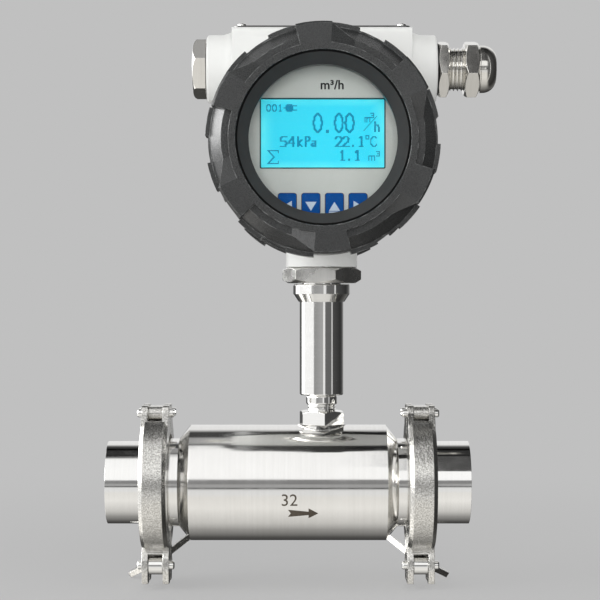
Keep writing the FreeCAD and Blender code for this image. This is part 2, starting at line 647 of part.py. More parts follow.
def entry_boss(side):
    """Boss of a cable entry, tapering out of the side of the housing."""
    reach = ENTRY_REACH
    outline = [(BOX_HALF_WIDTH - 12, 0), (BOX_HALF_WIDTH - 12, ENTRY_BOSS_ROOT_R),
               (BOX_HALF_WIDTH + 0.5, ENTRY_BOSS_ROOT_R), (BOX_HALF_WIDTH + 4.0, ENTRY_BOSS_R),
               (reach - 1.5, ENTRY_BOSS_R), ((reach - 0.44, ENTRY_BOSS_R - 0.44), (reach, ENTRY_BOSS_R - 1.5)),
               (reach, 0)]
    return turned(outline, Vector(STEM_X, 0, ENTRY_Z), X * side, radial=Z)


def head_housing():
    """Cast housing: round shell with a square top, two cable entries, a neck and two compartments."""
    depth = HOUSING_HALF_DEPTH
    shell = rod(HOUSING_R, head_point(y=-depth), head_point(y=depth))
    top = extruded([(-BOX_HALF_WIDTH, 0), (BOX_HALF_WIDTH, 0), (BOX_HALF_WIDTH, BOX_TOP_Z - HEAD_Z),
                    (-BOX_HALF_WIDTH, BOX_TOP_Z - HEAD_Z)], head_point(y=-depth), X, Z, Y * 2 * depth)
    neck = rod(HOUSING_NECK_R, Vector(STEM_X, 0, NECK_FOOT_Z), head_point(z=-HOUSING_R / 2))
    body = sound(shell.fuse(top))
    body = rounded(body, 1.2, lambda e: abs(abs(e.CenterOfMass.y) - depth) < 0.01)
    body = sound(body.fuse(neck))
    body = rounded(body, 3.0, lambda e: e.CenterOfMass.z < HEAD_Z - HOUSING_R * 0.8
                   and e.BoundBox.ZLength > 0.5 and e.BoundBox.XLength > HOUSING_NECK_R
                   and e.BoundBox.XLength < 2.1 * HOUSING_NECK_R and e.BoundBox.YLength > HOUSING_NECK_R)
    body = body.multiFuse([entry_boss(-1), entry_boss(1), rod(SPIGOT_R, head_point(y=-SPIGOT_END),
                                                              head_point(y=SPIGOT_END))])
    tools = [rod(COMPARTMENT_R, head_point(y=-SPIGOT_END - OVERRUN), head_point(y=PARTITION_FRONT_Y)),
             rod(COMPARTMENT_R, head_point(y=PARTITION_BACK_Y), head_point(y=SPIGOT_END + OVERRUN)),
             rod(NIPPLE_R + RUNNING, Vector(STEM_X, 0, NECK_FOOT_Z - OVERRUN), head_point(z=-COMPARTMENT_R * 0.9)),
             rod(WIRE_HOLE_R, head_point(y=PARTITION_FRONT_Y - OVERRUN, z=-COMPARTMENT_R / 2),
                 head_point(y=PARTITION_BACK_Y + OVERRUN, z=-COMPARTMENT_R / 2))]
    for side in (-1, 1):
        entry = head_point(side * (ENTRY_REACH + OVERRUN), 0, ENTRY_RISE)
        tools.append(rod(ENTRY_THREAD_R + SEAT, entry, head_point(side * COMPARTMENT_R / 2, 0, ENTRY_RISE)))
        screw = Vector(STEM_X + side * PLATE_SCREW_X, 0, BOX_TOP_Z)
        tools.append(rod(PLATE_SCREW_SHANK_R + SEAT, screw + Z * OVERRUN, screw - Z * (PLATE_SCREW_LENGTH + 1)))
    return sound(body.cut(tools[0].multiFuse(tools[1:])))


def top_nameplate():
    """Thin plate on the top of the housing, with a hole for each screw."""
    low = Vector(STEM_X - PLATE_WIDTH / 2, -PLATE_DEPTH / 2, BOX_TOP_Z)
    plate = rounded(block(low, low + Vector(PLATE_WIDTH, PLATE_DEPTH, PLATE_THICKNESS)), 2.5, lambda e: along(e, Z))
    for side in (-1, 1):
        hole = Vector(STEM_X + side * PLATE_SCREW_X, 0, BOX_TOP_Z - OVERRUN)
        plate = plate.cut(rod(PLATE_SCREW_SHANK_R + 0.2, hole, hole + Z * (PLATE_THICKNESS + 2 * OVERRUN)))
    return sound(plate)


def nameplate_screws():
    """Two pan-head screws."""
    top, foot = BOX_TOP_Z + PLATE_THICKNESS, BOX_TOP_Z - PLATE_SCREW_LENGTH
    screws = []
    for side in (-1, 1):
        outline = [(foot, 0), (foot, PLATE_SCREW_SHANK_R), (top, PLATE_SCREW_SHANK_R), (top, PLATE_SCREW_R),
                   (top + 0.7, PLATE_SCREW_R),
                   ((top + 1.3, PLATE_SCREW_R * 0.75), (top + PLATE_SCREW_HEAD, PLATE_SCREW_R * 0.3)),
                   (top + PLATE_SCREW_HEAD, 0)]
        screws.append(turned(outline, Vector(STEM_X + side * PLATE_SCREW_X, 0, 0), Z))
    return Part.makeCompound(screws)


# ================================================================== covers
def face_point(radius, angle, depth=0.0):
    """Point of the front cover at a radius, an angle and a depth behind its outer face."""
    turn = math.radians(angle)
    return head_point(radius * math.cos(turn), depth - COVER_FACE_Y, radius * math.sin(turn))


def face_turned(outline, start=0.0, angle=360.0):
    """Solid of revolution about the cover axis of an outline of (radius, depth), from an angle on."""
    radial = face_point(1, start) - face_point(0, start)
    return turned([(-depth, radius) for radius, depth in outline], face_point(0, 0), -Y, angle, radial)


def recess_tool(start, width):
    """Tool of one recess of a cover: floor, cone and rim, with a ramp at its far end."""
    inner, outer = FLOOR_R
    beyond = EAR_R + OVERRUN
    sector = face_turned([(inner, -OVERRUN), (inner, FLOOR_DEPTH), (outer, FLOOR_DEPTH), (RIM_EDGE_R, RIM_DEPTH),
                          (beyond, RIM_DEPTH), (beyond, -OVERRUN)], start, width)
    end = start + width
    radial = face_point(1, end) - face_point(0, end)
    back = radial.cross(Y)
    if back.dot(face_point(1, start) - face_point(0, start)) < 0:
        back = -back
    near = face_point(0, end, -OVERRUN)
    plan = [(inner - OVERRUN, 0), (RIM_EDGE_R, 0), (math.sqrt(outer ** 2 - RAMP_RUN ** 2), RAMP_RUN),
            (inner - 2 * OVERRUN, RAMP_RUN)]
    column = extruded(plan, near, radial, back, Y * (RIM_DEPTH + 2 * OVERRUN))
    wedge = extruded([(0, -OVERRUN), (0, 0), (RAMP_RUN, FLOOR_DEPTH), (RAMP_RUN + OVERRUN, FLOOR_DEPTH),
                      (RAMP_RUN + OVERRUN, -OVERRUN)], face_point(0, end), back, Y, radial * beyond)
    return sector.cut(column).fuse(sector.common(column).common(wedge))


def cover(inside):
    """Castellated screwed cover whose section inside the flat face is the outline inside."""
    outline = [(FACE_INNER_R, 0), (LAND_R, 0), (COVER_R, LAND_STEP), (COVER_R, COVER_DEPTH - 0.6),
               (COVER_R - 0.6, COVER_DEPTH), (SKIRT_R, COVER_DEPTH), (SKIRT_R, SHOULDER_DEPTH)]
    body = face_turned(outline + inside)
    recess = 360 / LANDS - LAND_WIDTH
    ears, tools = [], []
    for k in range(LANDS):
        start = FIRST_LAND + LAND_WIDTH / 2 + 360 / LANDS * k
        for first in (start, start + recess - EAR_WIDTH):
            ears.append(face_turned([(COVER_R - 2, RIM_DEPTH), (EAR_R, RIM_DEPTH), (EAR_R, COVER_DEPTH - 2.5),
                                     (COVER_R - 2, COVER_DEPTH - 2.5)], first, EAR_WIDTH))
        tools.append(recess_tool(start, recess))
    return sound(body.multiFuse(ears).cut(tools[0].multiFuse(tools[1:])))


def front_cover():
    """Front cover with a dished bezel, a lip and a pocket for the glass."""
    pocket_r = GLASS_R + GLASS_GAP
    return cover([(pocket_r, SHOULDER_DEPTH), (pocket_r, GLASS_SEAT_DEPTH), (LIP_R, GLASS_SEAT_DEPTH), (LIP_R, LIP_DEPTH),
                  (FACE_INNER_R - 1.0, 0.9), (FACE_INNER_R - 0.4, 0.9)])


def rear_cover():
    """Blank rear cover: the same casting with a shallow dished face."""
    cavity_r = COMPARTMENT_R - 0.5
    floor = BLANK_DISH + BLANK_THICKNESS
    blank = cover([(cavity_r, SHOULDER_DEPTH), (cavity_r, floor + 3.0), (cavity_r - 3.0, floor), (0, floor),
                   (0, BLANK_DISH), (FACE_INNER_R - 2.0, BLANK_DISH)])
    return blank.mirror(Vector(0, 0, 0), Y)


def cover_seal():
    """Flat ring between the shoulder of a cover and the end of its spigot."""
    front = SHOULDER_DEPTH + FACE_GAP
    return face_turned([(COMPARTMENT_R + 0.2, front), (SPIGOT_R - 0.1, front), (SPIGOT_R - 0.1, front + SEAL_THICKNESS),
                        (COMPARTMENT_R + 0.2, front + SEAL_THICKNESS)])


def window_glass():
    """Thick glass disc with ground edges."""
    front, back = GLASS_SEAT_DEPTH + GLASS_GAP, GLASS_BACK_DEPTH
    return face_turned([(0, front), (GLASS_R - 0.4, front), (GLASS_R, front + 0.4), (GLASS_R, back - 0.4),
                        (GLASS_R - 0.4, back), (0, back)])


def glass_retaining_ring():
    """Ring behind the glass, with four spanner slots."""
    front, back = GLASS_BACK_DEPTH, SHOULDER_DEPTH - 6 * FACE_GAP
    outer = GLASS_R + GLASS_GAP / 2
    inner = outer - RETAINER_WIDTH
    ring = face_turned([(inner, front), (outer, front), (outer, back), (inner, back)])
    for angle in range(0, 360, 90):
        slot = block(head_point(inner - OVERRUN, back - COVER_FACE_Y - 1.2, -1.25),
                     head_point(outer + OVERRUN, back - COVER_FACE_Y + OVERRUN, 1.25))
        slot.rotate(head_point(), Y, angle)
        ring = ring.cut(slot)
    return sound(ring)


# ================================================================== display
def key_x(index):
    """Distance of a key from the head axis."""
    return (index - (len(KEY_NAMES) - 1) / 2) * KEY_PITCH


def key_z():
    """Height of the middle of the keys from the cover axis."""
    return -KEY_DROP - KEY_SIZE[1] / 2


def slab(width, height, x, z, front, back, corner=0.0):
    """Upright plate, given from the head axis, between two depths, with rounded corners."""
    low = head_point(x - width / 2, front, z - height / 2)
    plate = block(low, head_point(x + width / 2, back, z + height / 2))
    return rounded(plate, corner, lambda e: along(e, Y)) if corner else plate


def posts():
    """Places of the posts that carry the boards, from the head axis."""
    return [(POST_CIRCLE_R * math.cos(math.radians(a)), POST_CIRCLE_R * math.sin(math.radians(a)))
            for a in (45, 135, 225, 315)]


def display_faceplate():
    """Round plate with the display window and a hole for each key."""
    plate = rod(COMPARTMENT_R - 0.3, head_point(y=FACEPLATE_Y), head_point(y=FACEPLATE_BACK_Y))
    front, back = FACEPLATE_Y - OVERRUN, FACEPLATE_BACK_Y + OVERRUN
    tools = [slab(*LCD_VIEW, 0, LCD_RISE, front, back, 1.0)]
    for k in range(len(KEY_NAMES)):
        tools.append(slab(KEY_SIZE[0] + 2 * KEY_GAP, KEY_SIZE[1] + 2 * KEY_GAP, key_x(k), key_z(), front, back,
                          1.0 + KEY_GAP))
    return sound(plate.cut(tools[0].multiFuse(tools[1:])))


def lcd():
    """Display module between the faceplate and its board."""
    return slab(*LCD_BODY, 0, LCD_RISE, FACEPLATE_BACK_Y, DISPLAY_BOARD_Y)


def board(front):
    """Round circuit board with clearance holes for the posts."""
    plate = rod(COMPARTMENT_R - BOARD_INSET, head_point(y=front), head_point(y=front + BOARD_THICKNESS))
    for x, z in posts():
        plate = plate.cut(rod(STUD_R + SEAT, head_point(x, front - OVERRUN, z),
                              head_point(x, front + BOARD_THICKNESS + OVERRUN, z)))
    return plate


def board_posts():
    """Four posts from the partition to the faceplate, necked where they pass through the boards."""
    columns = []
    ends = [FACEPLATE_BACK_Y, DISPLAY_BOARD_Y, DISPLAY_BOARD_Y + BOARD_THICKNESS, MAIN_BOARD_Y,
            MAIN_BOARD_Y + BOARD_THICKNESS, PARTITION_FRONT_Y]
    for x, z in posts():
        outline = [(ends[0], 0), (ends[0], POST_R), (ends[1], POST_R), (ends[1], STUD_R), (ends[2], STUD_R),
                   (ends[2], POST_R), (ends[3], POST_R), (ends[3], STUD_R), (ends[4], STUD_R),
                   (ends[4], POST_R), (ends[5], POST_R), (ends[5], 0)]
        columns.append(turned(outline, head_point(x, 0, z), Y))
    return Part.makeCompound(columns)


def key(index):
    """Key: cap through the faceplate, flange behind it and a stem over its switch."""
    back = FACEPLATE_BACK_Y + 2 * FACE_GAP
    x, z = key_x(index), key_z()
    cap = slab(*KEY_SIZE, x, z, FACEPLATE_Y - KEY_PROUD, back + 0.5, 1.0)
    flange = slab(KEY_FLANGE[0], KEY_FLANGE[1], x, z, back, back + KEY_FLANGE[2], 1.2)
    stem = rod(1.5, head_point(x, back, z), head_point(x, DISPLAY_BOARD_Y - SWITCH_SIZE[2] - KEY_TRAVEL - 2 * FACE_GAP, z))
    return sound(cap.multiFuse([flange, stem]))


def key_switches():
    """Switch under each key, on the display board."""
    return Part.makeCompound([slab(SWITCH_SIZE[0], SWITCH_SIZE[1], key_x(k), key_z(),
                                   DISPLAY_BOARD_Y - SWITCH_SIZE[2], DISPLAY_BOARD_Y, 0.6)
                              for k in range(len(KEY_NAMES))])


def terminal_x(index):
    """Distance of a terminal from the head axis."""
    return (index - (TERMINALS - 1) / 2) * TERMINAL_SIZE[0]


def terminal_block():
    """Terminal strip on the back of the partition, with a screw well and a wire hole per pole."""
    width, height, depth = TERMINAL_SIZE
    top = PARTITION_BACK_Y + depth
    strip = slab(width * TERMINALS, height, 0, 0, PARTITION_BACK_Y, top, 0.8)
    tools = []
    for k in range(TERMINALS):
        tools.append(rod(TERMINAL_SCREW_R + 0.3, head_point(terminal_x(k), top - TERMINAL_WELL, 1.5),
                         head_point(terminal_x(k), top + OVERRUN, 1.5)))
        tools.append(slab(4.0, 4.0, terminal_x(k), -height / 2, top - 9, top - 5))
    return sound(strip.cut(tools[0].multiFuse(tools[1:])))


def terminal_screws():
    """Slotted screw in each well of the terminal strip."""
    foot = PARTITION_BACK_Y + TERMINAL_SIZE[2] - TERMINAL_WELL
    screws = []
    for k in range(TERMINALS):
        head = rod(TERMINAL_SCREW_R, head_point(terminal_x(k), foot, 1.5), head_point(terminal_x(k), foot + 2.0, 1.5))
        screws.append(head.cut(slab(4.4, 0.7, terminal_x(k), 1.5, foot + 1.2, foot + 2.0 + OVERRUN)))
    return Part.makeCompound(screws)


# ================================================================== cable gland and plug
def gland_origin(side):
    """Centre of the end face of an entry boss."""
    return head_point(side * ENTRY_REACH, 0, ENTRY_RISE)


def washer(side, thickness):
    """Sealing washer under a plug or gland."""
    return turned([(0, ENTRY_THREAD_R + SEAT), (0, GLAND_AF / 2), (thickness, GLAND_AF / 2),
                   (thickness, ENTRY_THREAD_R + SEAT)], gland_origin(side), X * side)


def blanking_plug():
    """Plug of the spare entry: hexagon with a rounded edge and a threaded shank."""
    origin = gland_origin(-1) - X * PLUG_WASHER
    head = hexagon(GLAND_AF, origin, -X, PLUG_HEX, GLAND_TURN)
    corner = GLAND_AF / math.sqrt(3)
    dome = turned([(0, 0), (0, corner + OVERRUN), (PLUG_HEX - 1.8, corner + OVERRUN), (PLUG_HEX - 1.8, corner),
                   ((PLUG_HEX - 0.6, GLAND_AF / 2 + 0.6), (PLUG_HEX, GLAND_AF / 2 - 1.2)), (PLUG_HEX, 0)], origin, -X)
    shank = rod(ENTRY_THREAD_R, origin, gland_origin(-1) + X * ENTRY_THREAD_LENGTH)
    return sound(head.common(dome).fuse(shank))


def gland_body():
    """Gland body: shank in the housing, hexagon and the thread that carries the cap."""
    thread, cap = GLAND_THREAD_X, GLAND_CAP_X
    end = GLAND_CROWN_X - 1.5
    origin = gland_origin(1)
    hexagon_part = hex_nut(GLAND_AF, origin + X * GLAND_WASHER, X, GLAND_HEX, GLAND_TURN)
    outline = [(-ENTRY_THREAD_LENGTH, GLAND_BORE_R), (-ENTRY_THREAD_LENGTH, ENTRY_THREAD_R), (thread, ENTRY_THREAD_R)]
    outline += thread_outline(thread, cap, ENTRY_THREAD_R, GLAND_THREAD_PITCH, 0.8)
    outline += [(cap, ENTRY_THREAD_R), (end, ENTRY_THREAD_R), (end, GLAND_BORE_R)]
    bore = rod(GLAND_BORE_R, origin - X * (ENTRY_THREAD_LENGTH + OVERRUN), origin + X * (end + OVERRUN))
    return sound(turned(outline, origin, X).fuse(hexagon_part.cut(bore)))


def gland_cap():
    """Gland cap: hexagon over the thread, a groove and a dome with the cable mouth."""
    start, crown, end = GLAND_CAP_X, GLAND_CROWN_X, GLAND_END_X
    origin = gland_origin(1)
    wide, narrow = GLAND_DOME_R
    nut = hex_nut(GLAND_AF, origin + X * start, X, GLAND_CAP_HEX, GLAND_TURN)
    dome = turned([(crown - 0.5, 0), (crown - 0.5, wide - 0.7), (crown + 0.6, wide - 0.7), (crown + 0.6, wide),
                   (crown + 2.2, wide), ((end - 2.4, (wide + narrow) / 2 + 0.9), (end, narrow)), (end, 0)], origin, X)
    hollow = turned([(start - OVERRUN, 0), (start - OVERRUN, ENTRY_THREAD_R + RUNNING), (crown - 0.8, ENTRY_THREAD_R + RUNNING),
                     (crown + 1.0, GLAND_BORE_R), (end - 2.5, GLAND_MOUTH_R + 0.4), (end - 2.5, GLAND_MOUTH_R),
                     (end + OVERRUN, GLAND_MOUTH_R), (end + OVERRUN, 0)], origin, X)
    return sound(nut.fuse(dome).cut(hollow))


def gland_seal():
    """Rubber sleeve that the cap presses on the cable."""
    start, crown = GLAND_THREAD_X, GLAND_CROWN_X
    outline = [(start, GLAND_SEAL_R), (start, GLAND_BORE_R - RUNNING), (crown - 1.6, GLAND_BORE_R - RUNNING),
               (crown + 2.0, GLAND_MOUTH_R + 0.9), (crown + 2.0, GLAND_SEAL_R)]
    return turned(outline, gland_origin(1), X)


# ================================================================== clamps
def clamp_ring():
    """Ring of the clamp with its tapered groove, before it is split."""
    def half_groove(radius):
        return GASKET / 2 + RIM + (FLANGE_R - radius) * math.tan(math.radians(TAPER)) + 2 * RUNNING
    half, edge = CLAMP_WIDTH / 2, CLAMP_EDGE
    outline = [(-half, CLAMP_LIP_R), (-half, CLAMP_R - edge), (-half + edge, CLAMP_R), (half - edge, CLAMP_R),
               (half, CLAMP_R - edge), (half, CLAMP_LIP_R), (half_groove(CLAMP_LIP_R), CLAMP_LIP_R),
               (half_groove(CLAMP_ROOT_R), CLAMP_ROOT_R), (-half_groove(CLAMP_ROOT_R), CLAMP_ROOT_R),
               (-half_groove(CLAMP_LIP_R), CLAMP_LIP_R)]
    return turned(outline, Vector(CLAMP_X, 0, 0), X)


def clamp_ears(outline, corner, slot_z, up):
    """Pair of ears: a prism across the clamp with rounded outer corners and a slot."""
    half = CLAMP_WIDTH / 2
    ears = extruded(outline, Vector(CLAMP_X - half, 0, 0), Y, Z, X * CLAMP_WIDTH)
    reach = max(abs(z) for _, z in outline)
    ears = rounded(ears, corner, lambda e: along(e, X) and abs(abs(e.CenterOfMass.z) - reach) < 0.01)
    slot = block(Vector(CLAMP_X - EAR_SLOT / 2, -4 * half, min(slot_z, up * 2 * reach)),
                 Vector(CLAMP_X + EAR_SLOT / 2, 4 * half, max(slot_z, up * 2 * reach)))
    core = rod((CLAMP_R + CLAMP_ROOT_R) / 2, Vector(CLAMP_X - 2 * half, 0, 0), Vector(CLAMP_X + 2 * half, 0, 0))
    return ears.cut(core), slot


def clamp_front():
    """Front half of a clamp with its hinge ears and its bolt fork."""
    split, half = CLAMP_SPLIT, CLAMP_WIDTH / 2
    root = CLAMP_ROOT_R - 2
    ear_y = HINGE_PIN_Y + PIN_R + 3.75
    root_y = ear_y + 3.8
    top, top_slot = clamp_ears([(-split, root), (-split, TOP_EAR_Z), (1.6 - ear_y, TOP_EAR_Z),
                                (-ear_y, TOP_EAR_Z - 3.5), (-root_y, TOP_EAR_Z - 8.5), (-root_y, root)],
                               2.2, TOP_SLOT_Z, 1)
    fork_y = NUT_SWING_R - SWING_PIN_Y + 1.5
    bottom, bottom_slot = clamp_ears([(-split, -root), (-split, BOTTOM_EAR_Z), (-fork_y, BOTTOM_EAR_Z),
                                      (-fork_y, -root)], 2.0, BOTTOM_SLOT_Z, -1)
    swing = rod(NUT_SWING_R, Vector(CLAMP_X - CLAMP_WIDTH, SWING_PIN_Y, SWING_PIN_Z),
                Vector(CLAMP_X + CLAMP_WIDTH, SWING_PIN_Y, SWING_PIN_Z))
    front_side = block(Vector(CLAMP_X - CLAMP_WIDTH, -2 * CLAMP_R, -2 * CLAMP_R),
                       Vector(CLAMP_X + CLAMP_WIDTH, -split, 2 * CLAMP_R))
    body = clamp_ring().common(front_side).multiFuse([top, bottom.common(swing)]).cut(top_slot.fuse(bottom_slot))
    for y, z in ((HINGE_PIN_Y, HINGE_PIN_Z), (SWING_PIN_Y, SWING_PIN_Z)):
        body = body.cut(rod(PIN_R + SEAT, Vector(CLAMP_X - 2 * half, -y, z), Vector(CLAMP_X + 2 * half, -y, z)))
    return sound(body)


def pin(y, z):
    """Clamp pin with chamfered ends that stand proud of the ears."""
    reach = CLAMP_WIDTH / 2 + PIN_PROUD
    outline = [(-reach, 0), (-reach, PIN_R - 0.5), (-reach + 0.5, PIN_R), (reach - 0.5, PIN_R),
               (reach, PIN_R - 0.5), (reach, 0)]
    return turned(outline, Vector(CLAMP_X, y, z), X)


def clamp_link():
    """Link between the hinge pins of the two halves."""
    y, z = HINGE_PIN_Y, HINGE_PIN_Z
    half = EAR_SLOT / 2 - 0.15
    outline = [(-y, z - LINK_R), (y, z - LINK_R), (y, z + LINK_R), (-y, z + LINK_R)]
    link = extruded(outline, Vector(CLAMP_X - half, 0, 0), Y, Z, X * 2 * half)
    for side in (-1, 1):
        centre = Vector(CLAMP_X, side * y, z)
        link = link.fuse(rod(LINK_R, centre - X * half, centre + X * half))
        link = link.cut(rod(PIN_R + RUNNING, centre - X * 2 * half, centre + X * 2 * half))
    return sound(link)


def swing_bolt():
    """Swing bolt: forged eye on the front pin, and a shank that lies back through the rear fork."""
    centre = Vector(CLAMP_X, -SWING_PIN_Y, SWING_PIN_Z)
    eye = rod(EYE_R, centre - X * EYE_WIDTH / 2, centre + X * EYE_WIDTH / 2)
    neck = block(centre + Vector(-EYE_WIDTH / 2, 0, -BOLT_R), centre + Vector(EYE_WIDTH / 2, EYE_R + 1.0, BOLT_R))
    shank = turned([(PIN_R, 0), (PIN_R, BOLT_R), (BOLT_REACH - 0.7, BOLT_R), (BOLT_REACH, BOLT_R - 0.7),
                    (BOLT_REACH, 0)], centre, Y)
    hole = rod(PIN_R + RUNNING, centre - X * EYE_WIDTH, centre + X * EYE_WIDTH)
    return sound(eye.multiFuse([neck, shank]).cut(hole))


def wing_nut(turn):
    """Wing nut on the swing bolt, its wings swept away from the ears; turn is seen from the front."""
    foot = NUT_SWING_R + NUT_GAP
    centre = Vector(CLAMP_X, -SWING_PIN_Y, SWING_PIN_Z)
    hub = turned([(foot, 0), (foot, NUT_R), (foot + 1.5, NUT_R), (foot + NUT_HEIGHT, NUT_R - 1.4),
                  (foot + NUT_HEIGHT, 0)], centre, Y)
    span, rise = WING_SPAN, foot + 1.2
    outline = [(0, rise), (NUT_R - 0.6, rise), (span - 3.0, rise + 12.0), (span, rise + 15.0),
               ((span - 0.6, rise + 18.6), (span - 3.4, rise + 19.2)), (span - 7.0, rise + 15.0),
               (NUT_R - 1.2, foot + NUT_HEIGHT - 1.0), (0, foot + NUT_HEIGHT - 1.0)]
    wings = []
    for side in (-1, 1):
        wings.append(extruded(outline, centre - Z * WING_THICKNESS / 2, X * side, Y, Z * WING_THICKNESS))
    nut = hub.multiFuse(wings).cut(rod(BOLT_R + RUNNING, centre, centre + Y * 3 * foot))
    nut.rotate(centre, -Y, turn)
    return sound(nut)


# ================================================================== all nodes
def end_nodes():
    """Nodes that both pipe ends have."""
    front = clamp_front()
    made = {
        "weld_ferrule": weld_ferrule(),
        "gasket": clamp_gasket(),
        "clamp_front": front,
        "clamp_back": front.mirror(Vector(0, 0, 0), Y),
        "clamp_link": clamp_link(),
        "hinge_pins": Part.makeCompound([pin(side * HINGE_PIN_Y, HINGE_PIN_Z) for side in (-1, 1)]),
        "swing_pin": pin(-SWING_PIN_Y, SWING_PIN_Z),
        "swing_bolt": swing_bolt(),
        "wing_nut": wing_nut(WING_TURN),
    }
    nodes = {}
    for name, shape in made.items():
        nodes["inlet_" + name] = shape
        nodes["outlet_" + name] = mirrored_x(shape)
    return nodes


def flow_nodes():
    """Nodes of the meter body and what turns in it."""
    nodes = {"meter_body": meter_body(), "sensor_boss": sensor_boss(), "rotor": rotor(),
             "rotor_bearings": rotor_bearings(), "rotor_shaft": rotor_shaft()}
    for end in ("inlet", "outlet"):
        nodes[end + "_straightener"] = straightener(end)
        nodes[end + "_retaining_clip"] = retaining_clip(end)
    return nodes


def stem_nodes():
    """Nodes of the pickup sensor and the stem."""
    return {"pickup_sensor": pickup_sensor(), "pickup_coil": pickup_coil(), "sensor_lock_nut": sensor_lock_nut(),
            "stem_tube": stem_tube(), "head_lock_nut": head_lock_nut()}


def head_nodes():
    """Nodes of the head: housing, covers, display, gland and plug."""
    seal = cover_seal()
    nodes = {"head_housing": head_housing(), "top_nameplate": top_nameplate(), "nameplate_screws": nameplate_screws(),
             "front_cover": front_cover(), "window_glass": window_glass(),
             "glass_retaining_ring": glass_retaining_ring(), "front_cover_seal": seal,
             "rear_cover": rear_cover(), "rear_cover_seal": seal.mirror(Vector(0, 0, 0), Y),
             "display_faceplate": display_faceplate(), "lcd": lcd(), "display_board": board(DISPLAY_BOARD_Y),
             "main_board": board(MAIN_BOARD_Y), "board_posts": board_posts(), "key_switches": key_switches(),
             "terminal_block": terminal_block(), "terminal_screws": terminal_screws(),
             "blanking_plug": blanking_plug(), "plug_washer": washer(-1, PLUG_WASHER),
             "gland_body": gland_body(), "gland_washer": washer(1, GLAND_WASHER), "gland_seal": gland_seal(),
             "gland_cap": gland_cap()}
    for k, name in enumerate(KEY_NAMES):
        nodes[name] = key(k)
    return nodes


def main():
    """Build every node and write its STEP file."""
    os.makedirs("parts", exist_ok=True)
    nodes = {**flow_nodes(), **stem_nodes(), **end_nodes(), **head_nodes()}
    for name, shape in nodes.items():
        shape.exportStep(os.path.join("parts", name + ".step"))
        print(f"{name}: {len(shape.Solids)} solids, {shape.Volume:.1f} mm3, valid {shape.isValid()}")


main()
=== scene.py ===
"""Looks of a sanitary turbine flow meter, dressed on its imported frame.

Metres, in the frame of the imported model: origin at the centre of the inlet stub's end face,
+X downstream, -Y towards whoever reads the display, +Z up the stem.
"""
import logging
import math
from dataclasses import dataclass
from enum import Enum
from functools import cache

import bmesh
import bpy
from mathutils import Matrix, Vector


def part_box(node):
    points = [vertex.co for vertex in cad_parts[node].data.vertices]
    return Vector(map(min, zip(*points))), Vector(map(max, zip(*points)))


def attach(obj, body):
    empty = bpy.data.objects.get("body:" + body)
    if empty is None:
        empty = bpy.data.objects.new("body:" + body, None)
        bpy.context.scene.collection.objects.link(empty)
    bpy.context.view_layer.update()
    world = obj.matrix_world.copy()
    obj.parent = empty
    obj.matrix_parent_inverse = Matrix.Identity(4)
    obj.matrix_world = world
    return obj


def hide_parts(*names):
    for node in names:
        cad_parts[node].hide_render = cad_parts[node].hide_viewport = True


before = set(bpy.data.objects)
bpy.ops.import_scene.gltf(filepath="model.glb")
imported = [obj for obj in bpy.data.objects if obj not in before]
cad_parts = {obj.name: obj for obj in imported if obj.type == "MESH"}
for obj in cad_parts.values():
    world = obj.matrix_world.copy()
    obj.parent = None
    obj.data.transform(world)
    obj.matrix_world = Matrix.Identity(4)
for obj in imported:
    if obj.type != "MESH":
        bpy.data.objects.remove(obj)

logging.basicConfig(level=logging.INFO, format="%(levelname)s %(message)s")
LOG = logging.getLogger("flow_meter")
MM = 0.001
Colour = tuple[float, float, float]
Point2 = tuple[float, float]
Point3 = tuple[float, float, float]
Mesh, Object, Shape = bpy.types.Mesh, bpy.types.Object, bmesh.types.BMesh
Node, Socket, Tree = bpy.types.Node, bpy.types.NodeSocket, bpy.types.NodeTree


